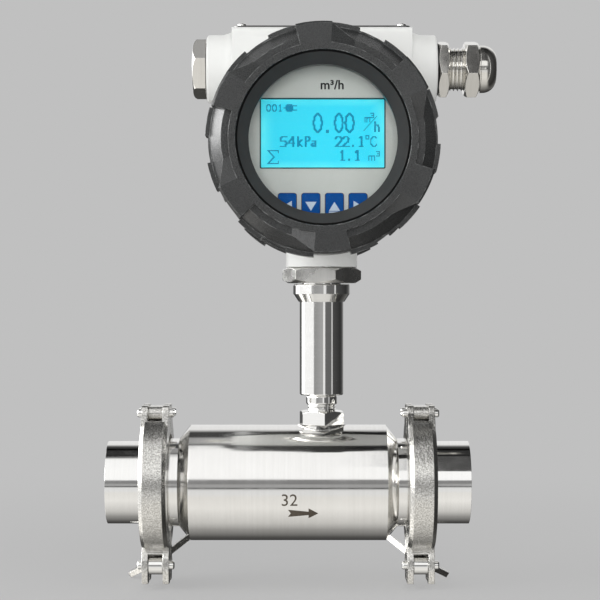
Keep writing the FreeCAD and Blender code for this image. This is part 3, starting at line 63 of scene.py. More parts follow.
# ------------------------------------------------------------------ wiring of node trees
class Wiring:
    """Short hand for placing and joining the nodes of one tree."""

    def __init__(self, tree: Tree) -> None:
        """Keep the tree that the nodes go in."""
        self.tree = tree

    def put(self, socket: Socket, value: object) -> None:
        """Join a socket to another one, or give it a plain value.

        Args:
            socket: The input to fill.
            value: An output socket, a number or a tuple.
        """
        if isinstance(value, Socket):
            self.tree.links.new(value, socket)
        elif isinstance(value, tuple) and len(value) == 3 and len(socket.default_value) == 4:
            socket.default_value = (*value, 1.0)
        else:
            socket.default_value = value

    def fill(self, node: Node, inputs: dict) -> None:
        """Put values or sockets in a node's inputs, by name or index."""
        for key, value in inputs.items():
            self.put(node.inputs[key], value)

    def add(self, kind: str, inputs: dict | None = None, **settings: object) -> Node:
        """Place a node.

        Args:
            kind: Blender's name of the node type.
            inputs: Values or sockets for its inputs, by name or index.
            settings: Values for its own properties.

        Returns:
            The new node.
        """
        node = self.tree.nodes.new(kind)
        for key, value in settings.items():
            setattr(node, key, value)
        self.fill(node, inputs or {})
        return node

    def math(self, operation: str, *values: object) -> Socket:
        """Return the result of one sum on sockets or numbers."""
        return self.add("ShaderNodeMath", dict(enumerate(values)), operation=operation).outputs[0]

    def times(self, first: object, second: object) -> Socket:
        """Return the product of two sockets or numbers."""
        return self.math("MULTIPLY", first, second)

    def span(self, value: object, low: object, high: object, start: float = 0.0, end: float = 1.0) -> Socket:
        """Map a value smoothly from low..high to start..end.

        Args:
            value: Socket or number to map.
            low: Value that gives start.
            high: Value that gives end.
            start: Result at low.
            end: Result at high.

        Returns:
            The mapped value's socket.
        """
        inputs = {"Value": value, "From Min": low, "From Max": high, "To Min": start, "To Max": end}
        return self.add("ShaderNodeMapRange", inputs, interpolation_type="SMOOTHSTEP").outputs["Result"]

    def blend(self, factor: object, first: object, second: object) -> Socket:
        """Mix two colours by a factor and return the mixed colour's socket."""
        return self.add("ShaderNodeMix", {0: factor, 6: first, 7: second}, data_type="RGBA").outputs[2]

    def noise(self, vector: object, scale: object, detail: float = 2.0, roughness: float = 0.5) -> Socket:
        """Return a noise value between 0 and 1 over a coordinate."""
        inputs = {"Vector": vector, "Scale": scale, "Detail": detail, "Roughness": roughness}
        return self.add("ShaderNodeTexNoise", inputs).outputs["Fac"]

    def shared(self, tree: Tree, place: Socket, **inputs: object) -> dict[str, Socket]:
        """Use a shared group on a coordinate and return its outputs, by name."""
        return self.add("ShaderNodeGroup", {"Vector": place, **inputs}, node_tree=tree).outputs


# ------------------------------------------------------------------ groups that several finishes share
VECTORS = ("Vector", "Stretch")     # inputs of a group that aren't plain numbers


def effect_group(name: str, inputs: tuple[str, ...], outputs: tuple[str, ...]) -> tuple[Wiring, dict, dict]:
    """Open a new shader group.

    Args:
        name: Name of the group.
        inputs: Names of its inputs.
        outputs: Names of its outputs, all of them numbers.

    Returns:
        The wiring, the group's input sockets and its output sockets, by name.
    """
    tree = bpy.data.node_groups.new(name, "ShaderNodeTree")
    for way, labels in (("INPUT", inputs), ("OUTPUT", outputs)):
        for label in labels:
            kind = "NodeSocketVector" if label in VECTORS else "NodeSocketFloat"
            tree.interface.new_socket(label, in_out=way, socket_type=kind)
    wiring = Wiring(tree)
    return wiring, wiring.add("NodeGroupInput").outputs, wiring.add("NodeGroupOutput").inputs


@cache
def grain_group() -> Tree:
    """Return the group for blasted or powder-coated grain: Height and Speckle."""
    wiring, given, result = effect_group("grain", ("Vector", "Scale"), ("Height", "Speckle"))
    coarse = wiring.noise(given["Vector"], given["Scale"], 3.0, 0.6)
    fine = wiring.noise(given["Vector"], wiring.times(given["Scale"], 2.7), 2.0, 0.7)
    wiring.put(result["Height"], wiring.math("MULTIPLY_ADD", fine, 0.5, coarse))
    wiring.put(result["Speckle"], wiring.span(fine, 0.35, 0.68))
    return wiring.tree


@cache
def line_group() -> Tree:
    """Return the group for the fine lines that a lathe or belt leaves: Height and Tone."""
    wiring, given, result = effect_group("machined_lines", ("Vector", "Stretch", "Scale"), ("Height", "Tone"))
    stretched = {0: given["Vector"], 1: given["Stretch"]}
    along = wiring.add("ShaderNodeVectorMath", stretched, operation="MULTIPLY").outputs[0]
    fine = wiring.noise(along, given["Scale"], 4.0, 0.75)
    broad = wiring.noise(along, wiring.times(given["Scale"], 0.13), 2.0, 0.6)
    wiring.put(result["Height"], wiring.math("MULTIPLY_ADD", broad, 0.4, fine))
    wiring.put(result["Tone"], wiring.span(wiring.times(wiring.math("ADD", fine, broad), 0.5), 0.3, 0.7))
    return wiring.tree


@cache
def edge_group() -> Tree:
    """Return the group that finds the edges of a piece, broken up by noise: Mask."""
    wiring, given, result = effect_group("edge_wear", ("Vector", "Radius", "Break"), ("Mask",))
    rounded = wiring.add("ShaderNodeBevel", {"Radius": given["Radius"]}, samples=6).outputs["Normal"]
    true = wiring.add("ShaderNodeNewGeometry").outputs["Normal"]
    match = wiring.add("ShaderNodeVectorMath", {0: rounded, 1: true}, operation="DOT_PRODUCT").outputs["Value"]
    edge = wiring.span(match, 0.995, 0.90)
    broken = wiring.noise(given["Vector"], 260.0, 4.0, 0.65)
    patch = wiring.span(broken, given["Break"], wiring.math("ADD", given["Break"], 0.25))
    wiring.put(result["Mask"], wiring.times(edge, patch))
    return wiring.tree


@cache
def smudge_group() -> Tree:
    """Return the group for the soft marks of handling: Mask."""
    wiring, given, result = effect_group("smudges", ("Vector", "Scale"), ("Mask",))
    large = wiring.noise(given["Vector"], given["Scale"], 3.0, 0.55)
    small = wiring.noise(given["Vector"], wiring.times(given["Scale"], 6.0), 4.0, 0.6)
    wiring.put(result["Mask"], wiring.span(wiring.math("MULTIPLY_ADD", small, 0.35, large), 0.45, 0.95))
    return wiring.tree


# ------------------------------------------------------------------ finishes
class Lay(Enum):
    """Which way the fine lines of a machined surface run."""

    AROUND_X = (1.0, 0.02, 0.02)
    AROUND_Y = (0.02, 1.0, 0.02)
    AROUND_Z = (0.02, 0.02, 1.0)
    ALONG_X = (0.02, 1.0, 1.0)
    ALONG_Z = (1.0, 1.0, 0.02)


@dataclass(frozen=True)
class Finish:
    """A surface finish; build() gives its material."""

    name: str

    @cache
    def build(self) -> bpy.types.Material:
        """Return the material, made at the first call."""
        material = bpy.data.materials.new(self.name + "_finish")
        material.use_nodes = True
        wiring = Wiring(material.node_tree)
        place = wiring.add("ShaderNodeTexCoord").outputs["Object"]
        self.dress(wiring, material.node_tree.nodes["Principled BSDF"], place)
        return material

    def dress(self, wiring: Wiring, shader: Node, place: Socket) -> None:
        """Wire the look of the finish.

        Args:
            wiring: Wiring of the material.
            shader: Its Principled shader.
            place: Object coordinates.
        """
        raise NotImplementedError


def bumped(wiring: Wiring, height: object, depth: float, edge: float = 0.0) -> Socket:
    """Return a normal with a relief on it, over softly rounded edges.

    Args:
        wiring: Wiring of the material.
        height: Height of the relief, 0 to 1.
        depth: Depth of the relief in metres.
        edge: Radius of the rounded edges in metres, or 0 for none.

    Returns:
        The normal's socket.
    """
    inputs = {"Height": height, "Distance": depth, "Strength": 1.0}
    if edge:
        inputs["Normal"] = wiring.add("ShaderNodeBevel", {"Radius": edge}, samples=6).outputs["Normal"]
    return wiring.add("ShaderNodeBump", inputs).outputs["Normal"]


@dataclass(frozen=True)
class Steel(Finish):
    """Machined, brushed or polished metal with fine lines and soft smudges."""

    colour: Colour = (0.93, 0.925, 0.91)
    dull: Colour = (0.85, 0.845, 0.825)
    roughness: tuple[float, float] = (0.045, 0.10)
    lay: Lay = Lay.AROUND_X
    spacing: float = 0.12 * MM
    depth: float = 0.0004 * MM
    edge: float = 0.25 * MM

    def dress(self, wiring: Wiring, shader: Node, place: Socket) -> None:
        """Wire the lines into the relief and the roughness, and the smudges into the tone."""
        lines = wiring.shared(line_group(), place, Stretch=self.lay.value, Scale=1 / self.spacing)
        marks = wiring.shared(smudge_group(), place, Scale=38.0)["Mask"]
        tone = wiring.math("MULTIPLY_ADD", lines["Tone"], 0.5, wiring.times(marks, 0.5))
        wiring.fill(shader, {
            "Base Color": wiring.blend(tone, self.dull, self.colour),
            "Roughness": wiring.span(marks, 0.0, 1.0, *self.roughness),
            "Metallic": 1.0,
            "Normal": bumped(wiring, lines["Height"], self.depth, self.edge)})


@dataclass(frozen=True)
class CastSteel(Finish):
    """Investment-cast steel, bead-blasted: satin with a bright speckle."""

    colour: Colour = (0.88, 0.87, 0.84)
    shade: Colour = (0.55, 0.54, 0.51)
    edge_colour: Colour = (0.82, 0.81, 0.78)
    grain: float = 1.5 * MM
    depth: float = 0.13 * MM
    edge: float = 0.45 * MM
    edge_break: float = 0.3

    def dress(self, wiring: Wiring, shader: Node, place: Socket) -> None:
        """Wire the blasted grain into colour, roughness and relief, with brighter edges."""
        grain = wiring.shared(grain_group(), place, Scale=1 / self.grain)
        edge_mask = wiring.shared(edge_group(), place, Radius=self.edge, Break=self.edge_break)["Mask"]
        base = wiring.blend(grain["Speckle"], self.shade, self.colour)
        wiring.fill(shader, {
            "Base Color": wiring.blend(edge_mask, base, self.edge_colour),
            "Metallic": 1.0,
            "Roughness": wiring.span(grain["Speckle"], 0.0, 1.0, 0.26, 0.16),
            "Normal": bumped(wiring, grain["Height"], self.depth, self.edge)})


@dataclass(frozen=True)
class Paint(Finish):
    """Powder coat with a fine grain and its own colour at its edges: worn paint, and on the dark cover also a painted
    highlight.
    """

    colour: Colour = (0.80, 0.805, 0.78)
    edge_colour: Colour = (0.86, 0.86, 0.85)
    shade: Colour = (0.77, 0.775, 0.75)
    grain: float = 0.8 * MM
    depth: float = 0.02 * MM
    roughness: float = 0.38
    edge: float = 0.5 * MM
    edge_break: float = 0.3
    shine: float = 0.3

    def dress(self, wiring: Wiring, shader: Node, place: Socket) -> None:
        """Wire the grain into the relief and roughness, and the edge mask into the colour: worn paint, on the cover
        also a painted highlight.
        """
        grain = wiring.shared(grain_group(), place, Scale=1 / self.grain)
        marks = wiring.shared(smudge_group(), place, Scale=22.0)["Mask"]
        # edge mask: lighter edges, partly worn paint and on the cover partly a painted highlight of edges catching the
        # light
        edge_mask = wiring.shared(edge_group(), place, Radius=self.edge, Break=self.edge_break)["Mask"]
        base = wiring.blend(marks, self.shade, self.colour)
        wiring.fill(shader, {
            "Base Color": wiring.blend(edge_mask, base, self.edge_colour),
            "Specular IOR Level": self.shine,
            "Roughness": wiring.span(grain["Speckle"], 0.0, 1.0, self.roughness + 0.06, self.roughness - 0.05),
            "Normal": bumped(wiring, grain["Height"], self.depth, self.edge)})


@dataclass(frozen=True)
class Plastic(Finish):
    """Moulded or printed plastic, rubber or film."""

    colour: Colour = (0.02, 0.02, 0.02)
    shade: Colour = (0.03, 0.03, 0.03)
    roughness: float = 0.45
    grain: float = 0.3 * MM
    depth: float = 0.004 * MM
    metallic: float = 0.0
    shine: float = 0.5

    def dress(self, wiring: Wiring, shader: Node, place: Socket) -> None:
        """Wire a fine moulded grain and a soft variation of the colour."""
        grain = wiring.shared(grain_group(), place, Scale=1 / self.grain)
        marks = wiring.shared(smudge_group(), place, Scale=60.0)["Mask"]
        wiring.fill(shader, {
            "Base Color": wiring.blend(marks, self.colour, self.shade),
            "Metallic": self.metallic,
            "Specular IOR Level": self.shine,
            "Roughness": wiring.span(grain["Speckle"], 0.0, 1.0, self.roughness + 0.05, self.roughness - 0.05),
            "Normal": bumped(wiring, grain["Height"], self.depth)})


@dataclass(frozen=True)
class Backlight(Finish):
    """Lit face of the display: even glow that turns paler towards its edges."""

    glow: Colour = (0.0, 0.72, 1.0)
    rim: Colour = (0.10, 0.88, 1.0)
    film: tuple[Colour, Colour] = ((0.012, 0.46, 0.62), (0.05, 0.56, 0.66))
    strength: float = 0.45
    centre: Point3 = (0.0, 0.0, 0.0)
    half: Point2 = (0.028, 0.0155)

    def dress(self, wiring: Wiring, shader: Node, place: Socket) -> None:
        """Wire the glow, paler towards the edges of the face."""
        shift = tuple(-c for c in self.centre)
        moved = wiring.add("ShaderNodeMapping", {"Vector": place, "Location": shift}).outputs[0]
        parts = wiring.add("ShaderNodeSeparateXYZ", {0: moved}).outputs
        across = wiring.math("ABSOLUTE", wiring.math("DIVIDE", parts["X"], self.half[0]))
        upright = wiring.math("ABSOLUTE", wiring.math("DIVIDE", parts["Z"], self.half[1]))
        edge = wiring.span(wiring.math("MAXIMUM", across, upright), 0.72, 1.0)
        mottle = wiring.noise(place, 90.0, 2.0)
        amount = wiring.times(edge, wiring.span(mottle, 0.3, 0.7, 0.5, 1.0))
        wiring.fill(shader, {
            "Emission Color": wiring.blend(amount, self.glow, self.rim),
            "Emission Strength": self.strength,
            "Base Color": wiring.blend(amount, *self.film),
            "Roughness": wiring.span(mottle, 0.0, 1.0, 0.18, 0.26)})


@dataclass(frozen=True)
class Glass(Finish):
    """Clear window glass that lets lamps through and reflects more at a slant."""

    tint: Colour = (0.9, 0.95, 0.93)
    clear: Colour = (0.985, 0.995, 0.99)
    slant: float = 1.08     # index that sets how fast the reflection grows with the angle

    def dress(self, wiring: Wiring, shader: Node, place: Socket) -> None:
        """Mix a clear shader with the reflecting one by the angle of view."""
        marks = wiring.shared(smudge_group(), place, Scale=30.0)["Mask"]
        wiring.fill(shader, {"Base Color": self.tint, "Metallic": 0.0, "IOR": 1.5,
                             "Roughness": wiring.span(marks, 0.0, 1.0, 0.02, 0.06)})
        clear = wiring.add("ShaderNodeBsdfTransparent", {"Color": self.clear}).outputs[0]
        amount = wiring.add("ShaderNodeFresnel", {"IOR": self.slant}).outputs[0]
        mixed = wiring.add("ShaderNodeMixShader", {0: amount, 1: clear, 2: shader.outputs[0]}).outputs[0]
        wiring.put(wiring.tree.nodes["Material Output"].inputs["Surface"], mixed)


class Finishes:
    """Every finish of the meter."""

    POLISHED_X = Steel("polished_steel_x")
    POLISHED_Z = Steel("polished_steel_z", lay=Lay.AROUND_Z)
    POLISHED_Y = Steel("polished_steel_y", lay=Lay.AROUND_Y)
    BRUSHED_X = Steel("brushed_steel_x", colour=(0.92, 0.912, 0.895), dull=(0.83, 0.822, 0.80), roughness=(0.07, 0.13),
                      spacing=0.16 * MM, depth=0.0006 * MM)
    BRUSHED_Z = Steel("brushed_steel_z", colour=(0.90, 0.89, 0.865), dull=(0.78, 0.77, 0.745), roughness=(0.10, 0.18),
                      lay=Lay.AROUND_Z, spacing=0.16 * MM, depth=0.0008 * MM)
    BELT_Z = Steel("belt_ground_steel", colour=(0.84, 0.835, 0.81), dull=(0.62, 0.615, 0.59), roughness=(0.18, 0.30),
                   lay=Lay.ALONG_Z, spacing=0.45 * MM, depth=0.005 * MM, edge=0.35 * MM)
    NICKEL = Steel("nickel_plate", colour=(0.86, 0.845, 0.805), dull=(0.74, 0.725, 0.69), roughness=(0.08, 0.16),
                   lay=Lay.AROUND_X, spacing=0.2 * MM, depth=0.0006 * MM, edge=0.3 * MM)
    COPPER = Steel("copper_winding", colour=(0.72, 0.36, 0.20), dull=(0.52, 0.24, 0.12), roughness=(0.3, 0.4),
                   lay=Lay.AROUND_Z, spacing=0.3 * MM, depth=0.02 * MM)
    PLATE = Steel("anodised_plate", colour=(0.22, 0.22, 0.215), dull=(0.15, 0.15, 0.148), roughness=(0.30, 0.42),
                  lay=Lay.ALONG_X, spacing=0.25 * MM, depth=0.002 * MM)
    CAST = CastSteel("cast_steel")
    HOUSING = Paint("housing_paint", colour=(0.84, 0.845, 0.825), shade=(0.80, 0.805, 0.785),
                    edge_colour=(0.87, 0.87, 0.86))
    # edge_colour: light grey edges of the dark cover, partly worn paint and partly a painted highlight
    COVER = Paint("cover_paint", colour=(0.035, 0.0365, 0.0365), edge_colour=(0.38, 0.39, 0.385),
                  shade=(0.024, 0.025, 0.025), grain=0.95 * MM, depth=0.085 * MM, roughness=0.27,
                  edge=0.45 * MM, edge_break=0.42, shine=0.6)
    FACEPLATE = Plastic("faceplate_paint", colour=(0.56, 0.565, 0.54), shade=(0.60, 0.605, 0.585), roughness=0.42)
    KEY = Plastic("key_film", colour=(0.0, 0.085, 0.36), shade=(0.0, 0.068, 0.31), roughness=0.34, shine=0.08)
    KEY_ARROW = Plastic("key_arrow_print", colour=(0.62, 0.70, 0.82), shade=(0.56, 0.64, 0.78), roughness=0.4)
    INK = Plastic("black_print", colour=(0.012, 0.012, 0.013), shade=(0.02, 0.02, 0.021), roughness=0.5)
    LASER = Plastic("laser_mark", colour=(0.070, 0.056, 0.040), shade=(0.11, 0.09, 0.068), roughness=0.5, metallic=0.3)
    SEGMENT = Plastic("display_segment", colour=(0.0, 0.16, 0.40), shade=(0.0, 0.19, 0.45), roughness=0.4, shine=0.05)
    EDGING = Plastic("display_edging", colour=(0.003, 0.045, 0.055), shade=(0.004, 0.06, 0.07), roughness=0.4)
    LINING = Plastic("bezel_lining", colour=(0.040, 0.0395, 0.039), shade=(0.048, 0.047, 0.0465), roughness=0.7,
                     grain=0.6 * MM, depth=0.02 * MM, shine=0.12)
    # painted shade: near-black skin for the shadowed groove round the bezel, darker than the cover's own paint
    GROOVE_SHADE = Plastic("bezel_groove", colour=(0.004, 0.004, 0.004), shade=(0.006, 0.006, 0.006), roughness=0.8,
                     shine=0.05)
    RUBBER = Plastic("black_rubber", colour=(0.018, 0.018, 0.018), shade=(0.028, 0.028, 0.027), roughness=0.62,
                     depth=0.01 * MM)
    GASKET = Plastic("white_gasket", colour=(0.72, 0.71, 0.68), shade=(0.66, 0.65, 0.62), roughness=0.5)
    BOARD = Plastic("circuit_board", colour=(0.010, 0.10, 0.035), shade=(0.014, 0.13, 0.05), roughness=0.35)
    TERMINAL = Plastic("terminal_plastic", colour=(0.02, 0.09, 0.05), shade=(0.03, 0.11, 0.06), roughness=0.4)
    GLASS = Glass("window_glass")

def dressed(finish: Finish, *nodes: str) -> None:
    """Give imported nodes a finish, in each of their material slots."""
    for node in nodes:
        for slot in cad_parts[node].material_slots:
            slot.material = finish.build()
    LOG.info("%s on %s", finish.name, ", ".join(nodes))


# ------------------------------------------------------------------ making pieces
def placed(name: str, mesh: Mesh, finish: Finish, body: str) -> Object:
    """Put a finished mesh in the scene on its body.

    Args:
        name: Name of the piece.
        mesh: Its mesh, in the frame of the model.
        finish: Its finish.
        body: Body that it rides on.

    Returns:
        The new object.
    """
    mesh.name = name
    mesh.materials.clear()
    mesh.materials.append(finish.build())
    piece = bpy.data.objects.new(name, mesh)
    bpy.context.scene.collection.objects.link(piece)
    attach(piece, body)
    LOG.info("piece %s: %d faces on %s", name, len(mesh.polygons), body)
    return piece


def mesh_of(shape: Shape) -> Mesh:
    """Turn a bmesh into a mesh with its faces pointing outwards."""
    bmesh.ops.recalc_face_normals(shape, faces=shape.faces)
    mesh = bpy.data.meshes.new("shape")
    shape.to_mesh(mesh)
    shape.free()
    return mesh


SHARP = 28.0        # degrees that a bend has to have to be shaded as an edge


def smoothed(mesh: Mesh, sharp: float | None = None) -> Mesh:
    """Shade a mesh smooth, apart from edges that bend by more than some degrees."""
    mesh.polygons.foreach_set("use_smooth", [True] * len(mesh.polygons))
    if sharp is not None:
        mesh.set_sharp_from_angle(angle=math.radians(sharp))
    return mesh


def baked(holder: Object, *helpers: Object) -> Mesh:
    """Return the mesh of an object as its modifiers leave it, and remove it and its helpers."""
    for item in (holder, *helpers):
        bpy.context.scene.collection.objects.link(item)
    bpy.context.view_layer.update()
    mesh = bpy.data.meshes.new_from_object(holder.evaluated_get(bpy.context.evaluated_depsgraph_get()))
    for item in (holder, *helpers):
        bpy.data.objects.remove(item)
    return mesh


def around(radius: float, k: int, steps: int) -> Point2:
    """Return point k of a circle of so many steps."""
    return radius * math.cos(2 * math.pi * k / steps), radius * math.sin(2 * math.pi * k / steps)


def rounded_box_points(width: float, height: float, radius: float, steps: int = 6) -> list[Point2]:
    """Return the outline of a rectangle with round corners, counter-clockwise round its centre."""
    points = []
    for corner, (sx, sy) in enumerate(((1, 1), (-1, 1), (-1, -1), (1, -1))):
        for k in range(steps + 1):
            angle = math.pi / 2 * (corner + k / steps)
            points.append((sx * (width / 2 - radius) + radius * math.cos(angle),
                           sy * (height / 2 - radius) + radius * math.sin(angle)))
    return points


def lofted(rings: list[list[Point3]], closed: bool = True, shape: Shape | None = None) -> Shape:
    """Join each ring of points to the next one by faces.

    Args:
        rings: Rings of as many points each; a ring of one point repeated is a pole.
        closed: Whether the last ring goes on to the first.
        shape: Shape that the faces go in, or None for a new one.

    Returns:
        The shape.
    """
    if shape is None:
        shape = bmesh.new()
    rows = []
    for ring in rings:
        if len(set(ring)) == 1:
            rows.append([shape.verts.new(ring[0])] * len(ring))
        else:
            rows.append([shape.verts.new(point) for point in ring])
    for near, far in zip(rows, [*rows[1:], rows[0]] if closed else rows[1:]):
        for k in range(len(near)):
            after = (k + 1) % len(near)
            shape.faces.new(list(dict.fromkeys((near[k], near[after], far[after], far[k]))))
    return shape


def prism(near: list[Point3], far: list[Point3]) -> Shape:
    """Return the closed shape between two flat outlines of as many points."""
    shape = bmesh.new()
    first, last = ([shape.verts.new(point) for point in outline] for outline in (near, far))
    shape.faces.new(first)
    shape.faces.new(last[::-1])
    for k in range(len(first)):
        after = (k + 1) % len(first)
        shape.faces.new((first[k], last[k], last[after], first[after]))
    return shape


def upright(outline: list[Point2], centre: Vector, depth: float) -> list[Point3]:
    """Stand an outline of (x, z) round a centre upright at a depth."""
    return [(centre.x + x, depth, centre.z + z) for x, z in outline]


def upright_ring(outer: list[Point2], inner: list[Point2], centre: Vector, front: float, back: float) -> Mesh:
    """Flat upright frame between two outlines of as many points, from one depth to another.

    Args:
        outer: Outside outline as (x, z) round the centre.
        inner: Inside outline, point for point.
        centre: Middle of the frame.
        front: Y of its front.
        back: Y of its back.

    Returns:
        The closed frame.
    """
    edges = ((outer, front), (inner, front), (inner, back), (outer, back))
    return mesh_of(lofted([upright(outline, centre, depth) for outline, depth in edges]))


def turned_mesh(outline: list[Point2], steps: int = 32) -> Mesh:
    """Closed shape turned round the Z axis from an outline of (radius, height), foot to top."""
    rings = [[(*around(radius, k, steps), height) for k in range(steps)] for radius, height in outline]
    return mesh_of(lofted(rings, closed=False))


def text_mesh(words: str, height: float, bold: float = 0.0) -> Mesh:
    """Flat mesh of some lettering in the XY plane, centred on the origin.

    Args:
        words: What it says.
        height: Height of a capital letter or figure.
        bold: How far the strokes are thickened.

    Returns:
        The mesh.
    """
    capital = 0.69      # height of a capital letter as a share of the font's size
    curve = bpy.data.curves.new("lettering", "FONT")
    curve.body = words
    curve.size = height / capital
    curve.align_x, curve.align_y = "CENTER", "CENTER"
    curve.offset = bold
    curve.fill_mode = "FRONT"
    return baked(bpy.data.objects.new("lettering", curve))


def thickened(flat: Shape, offset: Vector) -> None:
    """Make a flat sheet a closed slab by extruding it along an offset."""
    made = bmesh.ops.extrude_face_region(flat, geom=flat.faces[:], use_keep_orig=True)
    moved = [item for item in made["geom"] if isinstance(item, bmesh.types.BMVert)]
    bmesh.ops.translate(flat, verts=moved, vec=offset)


def carved(solid: Mesh, tools: list[Mesh]) -> Mesh:
    """Cut closed meshes out of another one.

    Args:
        solid: What is cut.
        tools: What is taken away, one after the other.

    Returns:
        What is left, smooth over gentle bends.
    """
    holder = bpy.data.objects.new("solid", solid)
    cutters = [bpy.data.objects.new("tool", tool) for tool in tools]
    for cutter in cutters:
        cut = holder.modifiers.new("cut", "BOOLEAN")
        cut.operation, cut.solver, cut.object = "DIFFERENCE", "EXACT", cutter
    mesh = baked(holder, *cutters)
    shape = bmesh.new()
    shape.from_mesh(mesh)
    bmesh.ops.holes_fill(shape, edges=[edge for edge in shape.edges if edge.is_boundary], sides=0)
    shape.to_mesh(mesh)
    shape.free()
    return smoothed(mesh, SHARP)


def instanced(name: str, points: list[Point3], size: Point3, finish: Finish, model: Mesh | None = None) -> Mesh:
    """Mesh with one small shape on each point, made by a geometry node tree.

    Args:
        name: Name of the tree.
        points: Where the copies go.
        size: Size of a box, or scale of the given shape.
        finish: Finish of the copies.
        model: Mesh to repeat, or None for a box.

    Returns:
        The plain mesh.
    """
    tree = bpy.data.node_groups.new(name, "GeometryNodeTree")
    sockets = {}
    for label, way, kind in (("Points", "INPUT", "Geometry"), ("Copy Size", "INPUT", "Vector"),
                             ("Model", "INPUT", "Object"), ("Copies", "OUTPUT", "Geometry")):
        sockets[label] = tree.interface.new_socket(label, in_out=way, socket_type="NodeSocket" + kind).identifier
    wiring = Wiring(tree)
    given = wiring.add("NodeGroupInput").outputs
    placing = {"Points": given["Points"]}
    repeated = bpy.data.objects.new("model", model) if model is not None else None
    if repeated is not None:
        placing["Instance"] = wiring.add("GeometryNodeObjectInfo", {"Object": given["Model"]}).outputs["Geometry"]
        placing["Scale"] = given["Copy Size"]
    else:
        placing["Instance"] = wiring.add("GeometryNodeMeshCube", {"Size": given["Copy Size"]}).outputs["Mesh"]
    copies = wiring.add("GeometryNodeInstanceOnPoints", placing).outputs[0]
    real = wiring.add("GeometryNodeRealizeInstances", {0: copies}).outputs[0]
    painted = wiring.add("GeometryNodeSetMaterial", {"Geometry": real, "Material": finish.build()}).outputs[0]
    wiring.put(wiring.add("NodeGroupOutput").inputs["Copies"], painted)
    source = bpy.data.meshes.new("places")
    source.from_pydata(points, [], [])
    holder = bpy.data.objects.new("holder", source)
    modifier = holder.modifiers.new("grown", "NODES")
    modifier.node_group = tree
    modifier[sockets["Copy Size"]] = size
    modifier[sockets["Model"]] = repeated
    mesh = baked(holder)
    if repeated is not None:
        bpy.data.objects.remove(repeated)
    return mesh


# ------------------------------------------------------------------ studio
# (degrees, brightness) of what the metal reflects, by the pitch of a direction and by its yaw
BY_PITCH = [(-180, 0.04), (-153, 0.05), (-135, 0.085), (-104, 0.31), (-83, 0.60), (-47, 0.88), (-9, 0.78), (-7.5, 0.07),
            (0.9, 0.07), (2.4, 0.24), (10.0, 0.26), (11.5, 1.06), (40, 1.06), (82.5, 1.0), (84, 0.18), (87, 0.20),
            (89, 0.45), (104, 0.42), (107, 0.06), (123, 0.06), (136, 0.86), (180, 0.86)]
BY_YAW = [(-180, 0.10), (-133, 0.10), (-128, 1.5), (-110, 1.5), (-100, 1.02), (-44, 1.0), (-40, 0.30), (0, 0.40),
          (6, 0.35), (8, 0.9), (17, 0.9), (19, 0.14), (52, 0.13), (54, 0.75), (58, 0.75), (60, 0.07), (116, 0.03),
          (140, 0.10), (160, 0.4), (180, 0.45)]


